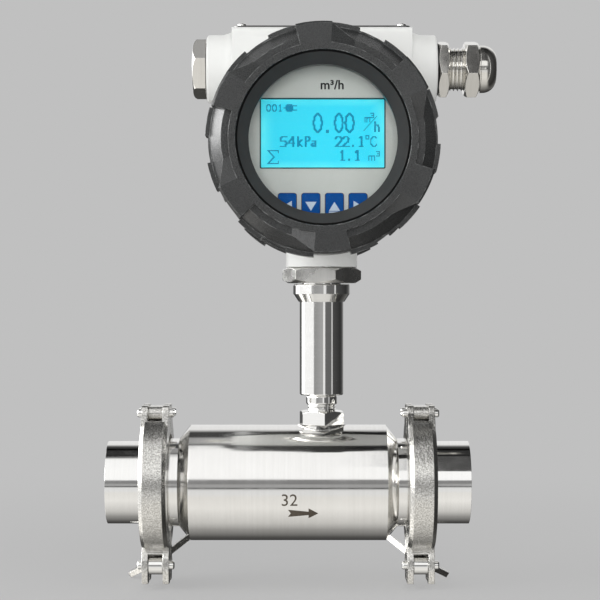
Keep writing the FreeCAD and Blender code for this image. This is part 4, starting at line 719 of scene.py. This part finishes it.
@dataclass
class Studio:
    """Camera, floor, lamps and the soft surroundings that the metal reflects."""

    eye: Point3 = (0.0885, -0.820, 0.0843)
    lens: float = 106.3
    sensor: float = 36.0
    nearest: float = 0.01
    aim: Point3 = (0.0885, 0.0, 0.08)           # where the lamps point
    shadow_middle: Point2 = (0.0885, 0.02)
    shadow: Point3 = (0.08, 0.55, 0.30)         # where it begins and ends, and how much it shows
    floor_size: float = 6.0                     # half its side
    floor_grey: float = 0.62
    grey: float = 0.527
    fill: float = 0.50
    softbox: float = 5.5

    def build(self) -> None:
        """Place everything that isn't part of the meter."""
        self.camera()
        self.world()
        self.floor()
        self.lamps()
        bpy.context.scene.view_settings.view_transform = "Standard"

    def camera(self) -> None:
        """Place the camera, level and square to the display."""
        data = bpy.data.cameras.new("camera")
        data.lens = self.lens
        data.sensor_width = self.sensor
        data.clip_start = self.nearest
        camera = bpy.data.objects.new("camera", data)
        camera.location = self.eye
        camera.rotation_euler = (math.pi / 2, 0.0, 0.0)
        bpy.context.scene.collection.objects.link(camera)
        bpy.context.scene.camera = camera

    def ramp(self, wiring: Wiring, angle: object, stops: list[Point2]) -> Socket:
        """Grey by an angle.

        Args:
            wiring: Wiring of the world.
            angle: Angle in radians, -pi to pi.
            stops: (degrees, brightness) in rising order.

        Returns:
            The brightness.
        """
        turn = wiring.math("MULTIPLY_ADD", angle, 1 / (2 * math.pi), 0.5)
        node = wiring.add("ShaderNodeValToRGB", {0: turn})
        brightest = max(value for _, value in stops)
        elements = node.color_ramp.elements
        for k, (degrees, value) in enumerate(stops):
            position = degrees / 360 + 0.5
            element = elements[k] if k < 2 else elements.new(position)
            element.position = position
        for element, (_, value) in zip(elements, stops):
            element.color = (value / brightest,) * 3 + (1.0,)
        return wiring.times(node.outputs["Color"], brightest)

    def world(self) -> None:
        """Plain grey to the camera, an even glow on the object, and banded soft boxes in its reflections."""
        world = bpy.data.worlds.new("studio")
        bpy.context.scene.world = world
        world.use_nodes = True
        wiring = Wiring(world.node_tree)
        output = world.node_tree.nodes["World Output"]
        plain = world.node_tree.nodes["Background"]
        way = wiring.add("ShaderNodeSeparateXYZ", {0: wiring.add("ShaderNodeTexCoord").outputs["Generated"]}).outputs
        ahead = wiring.times(way["Y"], -1.0)
        pitch = wiring.math("ARCTAN2", way["Z"], ahead)
        yaw = wiring.math("ARCTAN2", way["X"], ahead)
        upright = self.ramp(wiring, pitch, BY_PITCH)
        level = self.ramp(wiring, yaw, BY_YAW)
        raised = wiring.times(pitch, 180 / math.pi)
        right = wiring.times(wiring.span(way["X"], 0.058, 0.066), wiring.span(raised, 34.0, 38.0))
        left = wiring.times(wiring.span(way["X"], -0.072, -0.080), wiring.span(raised, 69.0, 82.0))
        shaded = wiring.times(wiring.math("MAXIMUM", right, left), wiring.span(raised, 118.0, 112.0))
        upright = wiring.times(upright, wiring.span(shaded, 0.0, 1.0, 1.0, 0.07))
        band = wiring.times(wiring.span(way["Z"], -0.100, -0.085), wiring.span(way["Z"], 0.035, 0.025))
        aside = wiring.span(wiring.math("ABSOLUTE", way["X"]), 0.35, 0.62)
        share = wiring.math("MAXIMUM", band, aside)
        mirrored = wiring.math("ADD", wiring.times(level, share),
                               wiring.times(upright, wiring.math("SUBTRACT", 1.0, share)))
        lit_band = wiring.times(wiring.span(way["Z"], 0.045, 0.07), wiring.span(way["Z"], 0.45, 0.30))
        softbox = wiring.times(lit_band, wiring.span(way["X"], -0.42, -0.70))
        mirrored = wiring.math("MULTIPLY_ADD", softbox, self.softbox, mirrored)
        warmth = wiring.blend(wiring.span(way["Z"], -0.30, -0.42), (1.0, 1.0, 1.0), (1.0, 0.982, 0.945))
        rays = wiring.add("ShaderNodeLightPath").outputs
        plain.inputs["Color"].default_value = (self.fill, self.fill, self.fill, 1.0)
        shown = wiring.add("ShaderNodeBackground", {"Color": (self.grey,) * 3}).outputs[0]
        gloss = wiring.add("ShaderNodeBackground", {"Color": warmth, "Strength": mirrored}).outputs[0]
        first = wiring.add("ShaderNodeMixShader", {0: rays["Is Glossy Ray"], 1: plain.outputs[0], 2: gloss}).outputs[0]
        last = wiring.add("ShaderNodeMixShader", {0: rays["Is Camera Ray"], 1: first, 2: shown}).outputs[0]
        wiring.put(output.inputs["Surface"], last)

    def floor(self) -> None:
        """Large pale floor under the meter, with a soft shadow near it."""
        low, _ = whole_box()
        size = self.floor_size
        mesh = bpy.data.meshes.new("floor")
        corners = [(-size, -size, low.z), (size, -size, low.z), (size, size, low.z), (-size, size, low.z)]
        mesh.from_pydata(corners, [], [(0, 1, 2, 3)])
        floor = bpy.data.objects.new("floor", mesh)
        bpy.context.scene.collection.objects.link(floor)
        material = bpy.data.materials.new("floor")
        material.use_nodes = True
        wiring = Wiring(material.node_tree)
        material.node_tree.nodes.remove(material.node_tree.nodes["Principled BSDF"])
        matt = wiring.add("ShaderNodeBsdfDiffuse", {"Color": (self.floor_grey,) * 3}).outputs[0]
        even = wiring.add("ShaderNodeEmission", {"Color": (self.grey,) * 3}).outputs[0]
        x, y = self.shadow_middle
        place = wiring.add("ShaderNodeMapping", {"Vector": wiring.add("ShaderNodeTexCoord").outputs["Object"],
                                                 "Location": (-x, -y, -low.z)}).outputs[0]
        reach = wiring.add("ShaderNodeVectorMath", {0: place}, operation="LENGTH").outputs["Value"]
        shade = wiring.span(reach, *self.shadow, 0.0)
        shown = wiring.add("ShaderNodeMixShader", {0: shade, 1: even, 2: matt}).outputs[0]
        seen = wiring.add("ShaderNodeLightPath").outputs["Is Camera Ray"]
        mixed = wiring.add("ShaderNodeMixShader", {0: seen, 1: matt, 2: shown}).outputs[0]
        wiring.put(material.node_tree.nodes["Material Output"].inputs["Surface"], mixed)
        mesh.materials.append(material)
        floor.visible_glossy = False

    def lamps(self) -> None:
        """Soft lamps from the front, the left and the upper right."""
        for name, place, size, power in (
                ("front", (0.02, -1.30, 0.20), 0.7, 7.6), ("left", (-0.95, -0.55, 0.35), 0.8, 5.4),
                ("above", (0.55, -0.45, 1.0), 0.7, 2.2)):
            data = bpy.data.lights.new(name, "AREA")
            data.shape = "SQUARE"
            data.size = size
            data.energy = power
            lamp = bpy.data.objects.new(name, data)
            lamp.location = place
            lamp.rotation_euler = (Vector(self.aim) - lamp.location).to_track_quat("-Z", "Y").to_euler()
            lamp.visible_glossy = False
            lamp.visible_camera = False
            bpy.context.scene.collection.objects.link(lamp)


def whole_box() -> tuple[Vector, Vector]:
    """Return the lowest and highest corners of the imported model."""
    corners = [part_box(node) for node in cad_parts]
    low = Vector([min(c[0][k] for c in corners) for k in range(3)])
    high = Vector([max(c[1][k] for c in corners) for k in range(3)])
    return low, high


# ------------------------------------------------------------------ flow line
@dataclass
class PipeEnd:
    """Weld stub, clamp and gasket at one end of the meter."""

    end: str

    def build(self) -> None:
        """Dress the nodes of this end."""
        for finish, parts in (
                (Finishes.POLISHED_X, ("weld_ferrule", "hinge_pins", "swing_pin", "retaining_clip")),
                (Finishes.GASKET, ("gasket",)),
                (Finishes.CAST, ("clamp_front", "clamp_back", "clamp_link", "wing_nut")),
                (Finishes.POLISHED_Y, ("swing_bolt",)),
                (Finishes.BRUSHED_X, ("straightener",))):
            dressed(finish, *(f"{self.end}_{part}" for part in parts))


@dataclass
class MeterBody:
    """Turned body with its rotor, laser marking and the welded boss."""

    mark_height: float = 5.4 * MM
    mark_lift: float = 0.03 * MM
    mark_place: Point2 = (0.6 * MM, -5.8 * MM)      # from the middle of the barrel, along it and round it
    arrow: Point2 = (13.6 * MM, 5.2 * MM)
    arrow_place: Point2 = (6.8 * MM, -12.0 * MM)
    arrow_neck: float = 0.68    # of its length
    arrow_halves: Point3 = (0.36, 0.17, 0.24)   # half the tail, half the neck and the notch, of its width
    strip: float = 0.4 * MM     # width of the strips that the marking is bent in
    strips: int = 38
    bead: float = 0.75 * MM
    bead_rise: float = 0.1      # of a ripple's radius
    bead_squash: float = 0.62
    ripples: int = 88

    def build(self) -> None:
        """Dress the body and add its weld and its marking."""
        dressed(Finishes.BRUSHED_X, "meter_body", "rotor", "rotor_bearings")
        dressed(Finishes.BRUSHED_Z, "sensor_boss")
        dressed(Finishes.POLISHED_X, "rotor_shaft")
        self.marking()
        self.weld()

    def weld(self) -> None:
        """Rippled weld bead where the boss stands on the barrel."""
        low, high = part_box("sensor_boss")
        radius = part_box("meter_body")[1].z
        middle, reach = (low.x + high.x) / 2, (high.x - low.x) / 2 + self.bead
        points = []
        for k in range(self.ripples):
            x, y = around(reach, k, self.ripples)
            points.append((middle + x, y, math.sqrt(radius ** 2 - y ** 2) + self.bead * self.bead_rise))
        ripple = bmesh.new()
        bmesh.ops.create_icosphere(ripple, subdivisions=2, radius=self.bead)
        scale = (1.0, 1.0, self.bead_squash)
        bead = smoothed(instanced("weld_ripples", points, scale, Finishes.BRUSHED_Z, mesh_of(ripple)))
        placed("weld_bead", bead, Finishes.BRUSHED_Z, "meter")

    def arrow_points(self) -> list[Point2]:
        """Return the outline of the flow arrow, with a notched tail."""
        length, width = self.arrow
        tail, neck = -length / 2, -length / 2 + length * self.arrow_neck
        broad, slim, notch = (width * share for share in self.arrow_halves)
        upper = [(tail, broad), (neck, slim), (neck, width / 2)]
        lower = [(x, -y) for x, y in reversed(upper)]
        return [*upper, (length / 2, 0.0), *lower, (tail + notch, 0.0)]

    def marking(self) -> None:
        """Size figure and flow arrow, laser-marked on the front of the barrel."""
        low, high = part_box("meter_body")
        radius = high.z
        middle = (low.x + high.x) / 2
        shape = bmesh.new()
        shape.from_mesh(text_mesh("32", self.mark_height))
        along, turned = self.mark_place
        bmesh.ops.translate(shape, verts=shape.verts, vec=(middle + along, turned, 0.0))
        along, turned = self.arrow_place
        shape.faces.new([shape.verts.new((middle + along + x, turned + y, 0.0)) for x, y in self.arrow_points()])
        bmesh.ops.triangulate(shape, faces=[f for f in shape.faces if len(f.verts) > 4])
        for k in range(-self.strips, 0):
            geometry = shape.verts[:] + shape.edges[:] + shape.faces[:]
            bmesh.ops.bisect_plane(shape, geom=geometry, dist=1e-7, plane_co=(0, k * self.strip, 0), plane_no=(0, 1, 0))
        thickened(shape, Vector((0, 0, self.mark_lift * 2)))
        for vert in shape.verts:
            reach = radius - self.mark_lift + vert.co.z
            angle = vert.co.y / radius
            vert.co = Vector((vert.co.x, -reach * math.cos(angle), reach * math.sin(angle)))
        placed("flow_marking", mesh_of(shape), Finishes.LASER, "meter")


class Stem:
    """Pickup sensor, stem tube and the two lock nuts."""

    def build(self) -> None:
        """Dress the nodes of the stem."""
        dressed(Finishes.POLISHED_Z, "pickup_sensor", "sensor_lock_nut", "stem_tube")
        dressed(Finishes.COPPER, "pickup_coil")
        dressed(Finishes.BELT_Z, "head_lock_nut")


# ------------------------------------------------------------------ head
class StrokeFont:
    """Figures and letters of the display, drawn as strokes on a cell 4 wide and 6 high."""

    STROKES: dict[str, list[list[Point2]]] = {
        "0": [[(2, 0), (0.6, 1), (0, 3), (0.6, 5), (2, 6), (3.4, 5), (4, 3), (3.4, 1), (2, 0)]],
        "1": [[(1, 5), (2, 6), (2, 0)], [(1, 0), (3, 0)]],
        "2": [[(0, 4.8), (1, 6), (3, 6), (4, 4.8), (3.6, 3.2), (0, 0), (4, 0)]],
        "4": [[(3, 0), (3, 6), (0, 2), (4, 2)]],
        "5": [[(4, 6), (0.4, 6), (0, 3.3), (3, 3.6), (4, 2), (3, 0), (0, 0.3)]],
        "k": [[(0.4, 0), (0.4, 6)], [(3.4, 4), (0.4, 1.8), (3.6, 0)]],
        "P": [[(0.4, 0), (0.4, 6), (3, 6), (4, 4.7), (3, 3.2), (0.4, 3.2)]],
        "a": [[(0.6, 4), (2.8, 4), (3.4, 3), (3.4, 0)], [(3.4, 2.4), (1, 2.4), (0.2, 1.2), (1, 0), (3.4, 0.8)]],
        "C": [[(4, 5), (3, 6), (1.2, 6), (0, 4.4), (0, 1.6), (1.2, 0), (3, 0), (4, 1)]],
        "m": [[(0, 0), (0, 4), (1.6, 4), (2, 3.2), (2, 0)], [(2, 3.2), (2.6, 4), (3.6, 4), (4, 3.2), (4, 0)]],
        "h": [[(0.4, 0), (0.4, 6)], [(0.4, 3), (1.6, 4), (3, 4), (3.6, 3), (3.6, 0)]],
        "/": [[(0, 0), (4, 6)]],
        "S": [[(4, 6), (0, 6), (2.4, 3), (0, 0), (4, 0)], [(4, 6), (4, 5.2)], [(4, 0), (4, 0.8)]],
        "D": [[(0, 1.5), (0, 4.5), (1.5, 6), (2.5, 6), (4, 4.5), (4, 1.5), (2.5, 0), (1.5, 0), (0, 1.5)]],
        "3": [[(0, 6), (4, 6), (4, 0), (0, 0)], [(1, 3), (4, 3)]],
    }

    @classmethod
    def dots(cls, glyph: str, column: float, row: float, width: float, height: float,
             heavy: bool) -> set[tuple[int, int]]:
        """Dots that one figure lights.

        Args:
            glyph: Which figure.
            column: Dot column of its left side.
            row: Dot row of its foot.
            width: Its width in dots.
            height: Its height in dots.
            heavy: Whether its strokes are two dots wide.

        Returns:
            Columns and rows of the lit dots.
        """
        lit: set[tuple[int, int]] = set()
        if glyph == ".":
            return {(round(column) + i, round(row) + j) for i in range(2 + heavy) for j in range(2 + heavy)}
        for stroke in cls.STROKES.get(glyph, []):
            for (x0, y0), (x1, y1) in zip(stroke, stroke[1:]):
                steps = 3 * int(max(width, height)) + 1
                for k in range(steps + 1):
                    x = column + (x0 + (x1 - x0) * k / steps) / 4 * width
                    y = row + (y0 + (y1 - y0) * k / steps) / 6 * height
                    lit.add((round(x), round(y)))
                    if heavy:
                        lit.add((round(x) + 1, round(y)))
        return lit


@dataclass
class Display:
    """Faceplate with the lit display, its frame, the printed unit and the keys."""

    columns: int = 128
    rows: int = 64
    area: Point2 = (54.5 * MM, 30.2 * MM)
    view: Point2 = (56.96 * MM, 31.96 * MM)
    border: float = 0.56 * MM
    corners: Point3 = (0.98 * MM, 0.8 * MM, 0.4 * MM)   # radius of the view, the frame and the lit area
    foot_gap: float = 0.01 * MM     # between the lit face and the frames round it
    rim_rise: float = 0.02 * MM
    edging_sink: float = 0.1 * MM
    dot_fill: float = 0.86
    dot_depth: float = 0.08 * MM
    print_lift: float = 0.05 * MM
    unit_size: Point2 = (3.9 * MM, 0.12 * MM)           # height and boldness
    unit_place: Point2 = (4.2 * MM, 21.2 * MM)          # from the middle of the display
    surround: tuple[Point3, Point3] = ((8.5 * MM, 9.6 * MM, 1.25 * MM), (7.9 * MM, 9.05 * MM, 1.0 * MM))
    arrow_size: Point2 = (4.9 * MM, 4.0 * MM)
    arrow_drop: float = 1.2 * MM
    bar_drop: float = 3.75 * MM
    bar_height: float = 0.5 * MM
    key_names: tuple[str, ...] = ("key_left", "key_down", "key_up", "key_right")

    def build(self) -> None:
        """Dress the display's nodes and add what is printed and lit on them."""
        low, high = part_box("lcd")
        self.middle = (low + high) / 2
        self.face_y = low.y
        self.plate_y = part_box("display_faceplate")[0].y
        dressed(Finishes.FACEPLATE, "display_faceplate")
        dressed(Backlight("display_backlight", centre=tuple(self.middle)), "lcd")
        dressed(Finishes.BOARD, "display_board", "main_board")
        dressed(Finishes.NICKEL, "board_posts", "terminal_screws")
        dressed(Finishes.TERMINAL, "key_switches", "terminal_block")
        self.figures()
        self.surrounds()
        self.unit()
        dressed(Finishes.KEY, *self.key_names)
        for name, turn in zip(self.key_names, (90, 180, 0, -90)):
            self.arrow(name, turn)

    def lit_dots(self) -> set[tuple[int, int]]:
        """Return every lit dot: flow rate, pressure, temperature and total, with their units."""
        lit: set[tuple[int, int]] = set()
        # words, column and row of their foot, width and height of a figure, step to the next one, two dots wide
        for words, column, row, width, height, step, heavy in (
                ("001", 6, 53, 4, 6, 6, False), ("0", 54, 33, 9, 18, 0, True), (".", 68, 33, 3, 3, 0, True),
                ("00", 76, 33, 8.6, 18, 11.3, True), ("m", 108, 43, 5, 6, 0, False), ("3", 114, 47, 3, 4, 0, False),
                ("/", 107, 35, 13, 13, 0, False), ("h", 117, 34, 5, 9, 0, True), ("54", 20, 20, 6, 9, 8.2, True),
                ("k", 37, 20, 6, 9, 0, True), ("P", 45, 20, 5, 9, 0, True), ("a", 52, 20, 5, 8, 0, True),
                ("22", 77, 20, 6, 9, 7.6, True), (".", 95, 20, 2, 2, 0, False), ("1", 101, 20, 5, 9, 0, True),
                ("D", 109, 27, 3, 3, 0, False), ("C", 114, 20, 6.5, 9, 0, False), ("S", 7, 4, 11, 12, 0, False),
                ("1", 82, 7, 5, 9, 0, True), (".", 91, 7, 2, 2, 0, False), ("1", 97, 7, 5, 9, 0, True),
                ("m", 112, 7, 6, 6, 0, False), ("3", 120, 11, 3, 4, 0, False)):
            for k, glyph in enumerate(words):
                lit |= StrokeFont.dots(glyph, column + k * step, row, width, height, heavy)
        plug = {(c, r) for c in range(26, 34) for r in range(53, 60)} - {(26, 53), (26, 59), (33, 53), (33, 59)}
        prongs = {(c, r) for c in range(34, 38) for r in (54, 58)}
        return lit | plug | prongs | {(24, 56), (25, 56)}

    def figures(self) -> None:
        """Lit dots of the display, one small tile instanced on each."""
        pitch_x, pitch_z = self.area[0] / self.columns, self.area[1] / self.rows
        left, foot = self.columns / 2, self.rows / 2
        points = [(self.middle.x + (c - left) * pitch_x, self.face_y, self.middle.z + (r - foot) * pitch_z)
                  for c, r in sorted(self.lit_dots())]
        tile = (pitch_x * self.dot_fill, self.dot_depth, pitch_z * self.dot_fill)
        mesh = instanced("display_dots", points, tile, Finishes.SEGMENT)
        placed("display_figures", mesh, Finishes.SEGMENT, "head")

    def surrounds(self) -> None:
        """Black frame of the display window and the printed surround of each key."""
        wide, high = self.area
        sizes = (self.view, (wide + 2 * self.border, high + 2 * self.border), self.area)
        view, edge, lit = (rounded_box_points(*size, radius) for size, radius in zip(sizes, self.corners))
        foot = self.face_y - self.foot_gap
        rim = upright_ring(view, edge, self.middle, self.plate_y - self.rim_rise, foot)
        placed("display_rim", rim, Finishes.FACEPLATE, "head")
        edging = upright_ring(edge, lit, self.middle, self.plate_y + self.edging_sink, foot)
        placed("display_frame", edging, Finishes.EDGING, "head")
        outer, inner = (rounded_box_points(*size) for size in self.surround)
        for name in self.key_names:
            low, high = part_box(name)
            faces = (self.plate_y - self.print_lift, self.plate_y + self.print_lift)
            placed(name + "_surround", upright_ring(outer, inner, (low + high) / 2, *faces), Finishes.INK, "head")

    def unit(self) -> None:
        """Unit of the reading, printed over the display."""
        shape = bmesh.new()
        shape.from_mesh(text_mesh("m³/h", *self.unit_size))
        thickened(shape, Vector((0, 0, 2 * self.print_lift)))
        x, z = self.unit_place
        place = Matrix.Translation((self.middle.x + x, self.plate_y + self.print_lift, self.middle.z + z))
        bmesh.ops.transform(shape, matrix=place @ Matrix.Rotation(math.pi / 2, 4, "X"), verts=shape.verts)
        placed("unit_print", mesh_of(shape), Finishes.INK, "head")

    def arrow(self, key: str, turn: float) -> None:
        """Pale arrow on a key, pointing up when turn is 0, which also gives it a bar under it."""
        low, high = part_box(key)
        middle = (low + high) / 2
        width, height = self.arrow_size
        sine, cosine = math.sin(math.radians(turn)), math.cos(math.radians(turn))
        corners = ((-width / 2, -height / 2), (width / 2, -height / 2), (0.0, height / 2))
        outline = [(x * cosine - z * sine, x * sine + z * cosine) for x, z in corners]
        faces = (low.y - self.print_lift, low.y + self.print_lift)

        def printed(points: list[Point2], drop: float) -> Shape:
            """Return the print of an outline at a drop under the middle of the key."""
            centre = Vector((middle.x, 0, middle.z - drop))
            return prism(*(upright(points, centre, depth) for depth in faces))

        shape = printed(outline, self.arrow_drop)
        if turn == 0:
            half = self.bar_height / 2
            bar = printed([(-width / 2, -half), (width / 2, -half), (width / 2, half), (-width / 2, half)],
                          self.bar_drop)
            flat = bpy.data.meshes.new("bar")
            bar.to_mesh(flat)
            bar.free()
            shape.from_mesh(flat)
        placed(key + "_arrow", mesh_of(shape), Finishes.KEY_ARROW, key)


@dataclass
class Head:
    """Painted housing with its covers, window, nameplate, plug and gland."""

    shell: float = 46.15 * MM
    half_width: float = 41.0 * MM
    half_depth: float = 18.0 * MM
    rounding: float = 3.0 * MM
    arc_steps: int = 61
    bend_steps: int = 8
    plate: Point2 = (80.2 * MM, 27.0 * MM)
    plate_corner: float = 2.5 * MM
    border_boxes: tuple[Point2, ...] = ((46 * MM, 21 * MM), (22 * MM, 6 * MM))
    border_corner: float = 1.2 * MM
    border_line: float = 0.7 * MM
    border_sink: float = 0.02 * MM
    border_height: float = 0.06 * MM
    screw_edge: float = 3.6 * MM
    screw: tuple[Point2, ...] = ((0, -5 * MM), (1.2 * MM, -5 * MM), (1.2 * MM, 0), (2.0 * MM, 0), (2.0 * MM, 0.7 * MM),
                                 (1.85 * MM, 1.05 * MM), (1.45 * MM, 1.35 * MM), (0.8 * MM, 1.52 * MM), (0, 1.58 * MM))
    cross: Point3 = (2.4 * MM, 0.5 * MM, 1.6 * MM)
    cross_rise: float = 1.65 * MM
    bezel_radii: Point2 = (32.4 * MM, 38.0 * MM)
    bezel_steps: int = 128

    def build(self) -> None:
        """Dress the nodes of the head and add the shapes that are its own."""
        dressed(Finishes.HOUSING, "head_housing")
        dressed(Finishes.COVER, "front_cover", "rear_cover")
        dressed(Finishes.GLASS, "window_glass")
        dressed(Finishes.PLATE, "glass_retaining_ring", "top_nameplate")
        dressed(Finishes.RUBBER, "front_cover_seal", "rear_cover_seal", "plug_washer", "gland_washer", "gland_seal")
        dressed(Finishes.POLISHED_Z, "nameplate_screws")
        dressed(Finishes.NICKEL, "blanking_plug", "gland_body", "gland_cap")
        self.housing()
        self.nameplate()
        self.screws()
        self.bezel()

    def housing(self) -> None:
        """Housing whose square top is slimmer than its round shell, with rounded upper edges."""
        _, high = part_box("head_housing")
        cover_low, cover_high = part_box("front_cover")
        axis = (cover_low + cover_high) / 2
        solid = bmesh.new()
        solid.from_mesh(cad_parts["head_housing"].data)
        bmesh.ops.remove_doubles(solid, verts=solid.verts, dist=1e-6)
        mesh = bpy.data.meshes.new("housing")
        solid.to_mesh(mesh)
        solid.free()
        side = self.half_width + MM
        start = math.acos(side / self.shell)
        turns = [start + (math.pi - 2 * start) * k / self.arc_steps for k in range(self.arc_steps + 1)]
        arc = [(self.shell * math.cos(turn), self.shell * math.sin(turn)) for turn in turns]
        top = high.z - axis.z + MM
        above = [*arc, (-side, top), (side, top)]
        bends = [(self.rounding * (1 - math.sin(turn)), self.rounding * (1 - math.cos(turn)))
                 for turn in (math.pi / 2 * k / self.bend_steps for k in range(self.bend_steps + 1))]
        spare = 0.3 * MM
        tools = []
        for way in (-1, 1):
            tools.append(mesh_of(prism(*(upright(above, axis, way * y) for y in (self.half_depth, high.y + MM)))))
            profile = [(way * (self.half_depth + spare), high.z - self.rounding),
                       (way * (self.half_depth + spare), high.z + spare),
                       (way * (self.half_depth - self.rounding), high.z + spare)]
            profile += [(way * (self.half_depth - across), high.z - down) for across, down in bends]
            tools.append(mesh_of(prism(*([(axis.x + x, y, z) for y, z in profile] for x in (-side, side)))))
        piece = placed("housing_shape", carved(mesh, tools), Finishes.HOUSING, "head")
        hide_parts("head_housing")

    def bezel(self) -> None:
        """Matt lining of the front cover's dished bezel, and a near-black ring of painted shade in the groove round it.
        """
        low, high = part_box("front_cover")
        axis = (low + high) / 2
        inner, outer = self.bezel_radii
        lining = ((inner, 8.0 * MM), (outer - MM, 0.95 * MM), (outer - MM, 0.85 * MM), (inner - 0.08 * MM, 7.9 * MM))
        # painted shade: thin near-black ring laid in the groove, where the cover paint is in shadow
        groove_shade_ring = ((outer - 1.05 * MM, 0.95 * MM), (outer - 0.30 * MM, 0.95 * MM), (outer + 0.15 * MM, 0.04 * MM),
                  (outer - 0.45 * MM, 0.80 * MM), (outer - 1.05 * MM, 0.80 * MM))
        steps = self.bezel_steps
        for finish, outline in ((Finishes.LINING, lining), (Finishes.GROOVE_SHADE, groove_shade_ring)):
            rings = [upright([around(radius, k, steps) for k in range(steps)], axis, low.y + depth)
                     for radius, depth in outline]
            placed(finish.name, smoothed(mesh_of(lofted(rings)), SHARP), finish, "front_cover")

    def nameplate(self) -> None:
        """Blank plate on the top with a printed border."""
        low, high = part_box("top_nameplate")
        middle = (low + high).x / 2
        slab = bmesh.new()
        outline = rounded_box_points(*self.plate, self.plate_corner)
        slab.faces.new([slab.verts.new((middle + x, y, low.z)) for x, y in outline])
        thickened(slab, Vector((0, 0, high.z - low.z)))
        piece = placed("nameplate", mesh_of(slab), Finishes.PLATE, "head")
        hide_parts("top_nameplate")
        border = bmesh.new()
        for wide, deep in self.border_boxes:
            outlines = [rounded_box_points(wide - cut, deep - cut, self.border_corner)
                        for cut in (0.0, self.border_line)]
            rings = [[(middle + x, y, high.z - self.border_sink) for x, y in outline] for outline in outlines]
            lofted(rings, closed=False, shape=border)
        thickened(border, Vector((0, 0, self.border_height)))
        placed("nameplate_border", mesh_of(border), Finishes.INK, "head")

    def screws(self) -> None:
        """Four pan screws with a cross recess, at the corners of the plate."""
        low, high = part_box("top_nameplate")
        middle = (low + high).x / 2
        long, thin, deep = self.cross
        arms = []
        for size in ((long, thin, deep), (thin, long, deep)):
            arm = bmesh.new()
            place = Matrix.Translation((0, 0, self.cross_rise)) @ Matrix.Diagonal((*size, 1.0))
            bmesh.ops.create_cube(arm, size=1.0, matrix=place)
            arms.append(mesh_of(arm))
        model = carved(turned_mesh(self.screw), arms)
        reach_x, reach_y = (side / 2 - self.screw_edge for side in self.plate)
        places = [(middle + sx * reach_x, sy * reach_y, high.z) for sx in (-1, 1) for sy in (-1, 1)]
        screws = instanced("plate_screws", places, (1.0, 1.0, 1.0), Finishes.POLISHED_Z, model)
        piece = placed("plate_screws", screws, Finishes.POLISHED_Z, "head")
        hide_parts("nameplate_screws")


def main() -> None:
    """Build the studio and every sub-assembly."""
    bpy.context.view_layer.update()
    Studio().build()
    for part in (PipeEnd("inlet"), PipeEnd("outlet"), MeterBody(), Stem(), Head(), Display()):
        part.build()
        LOG.info("%s done", type(part).__name__)


if __name__ == "__main__":
    main()
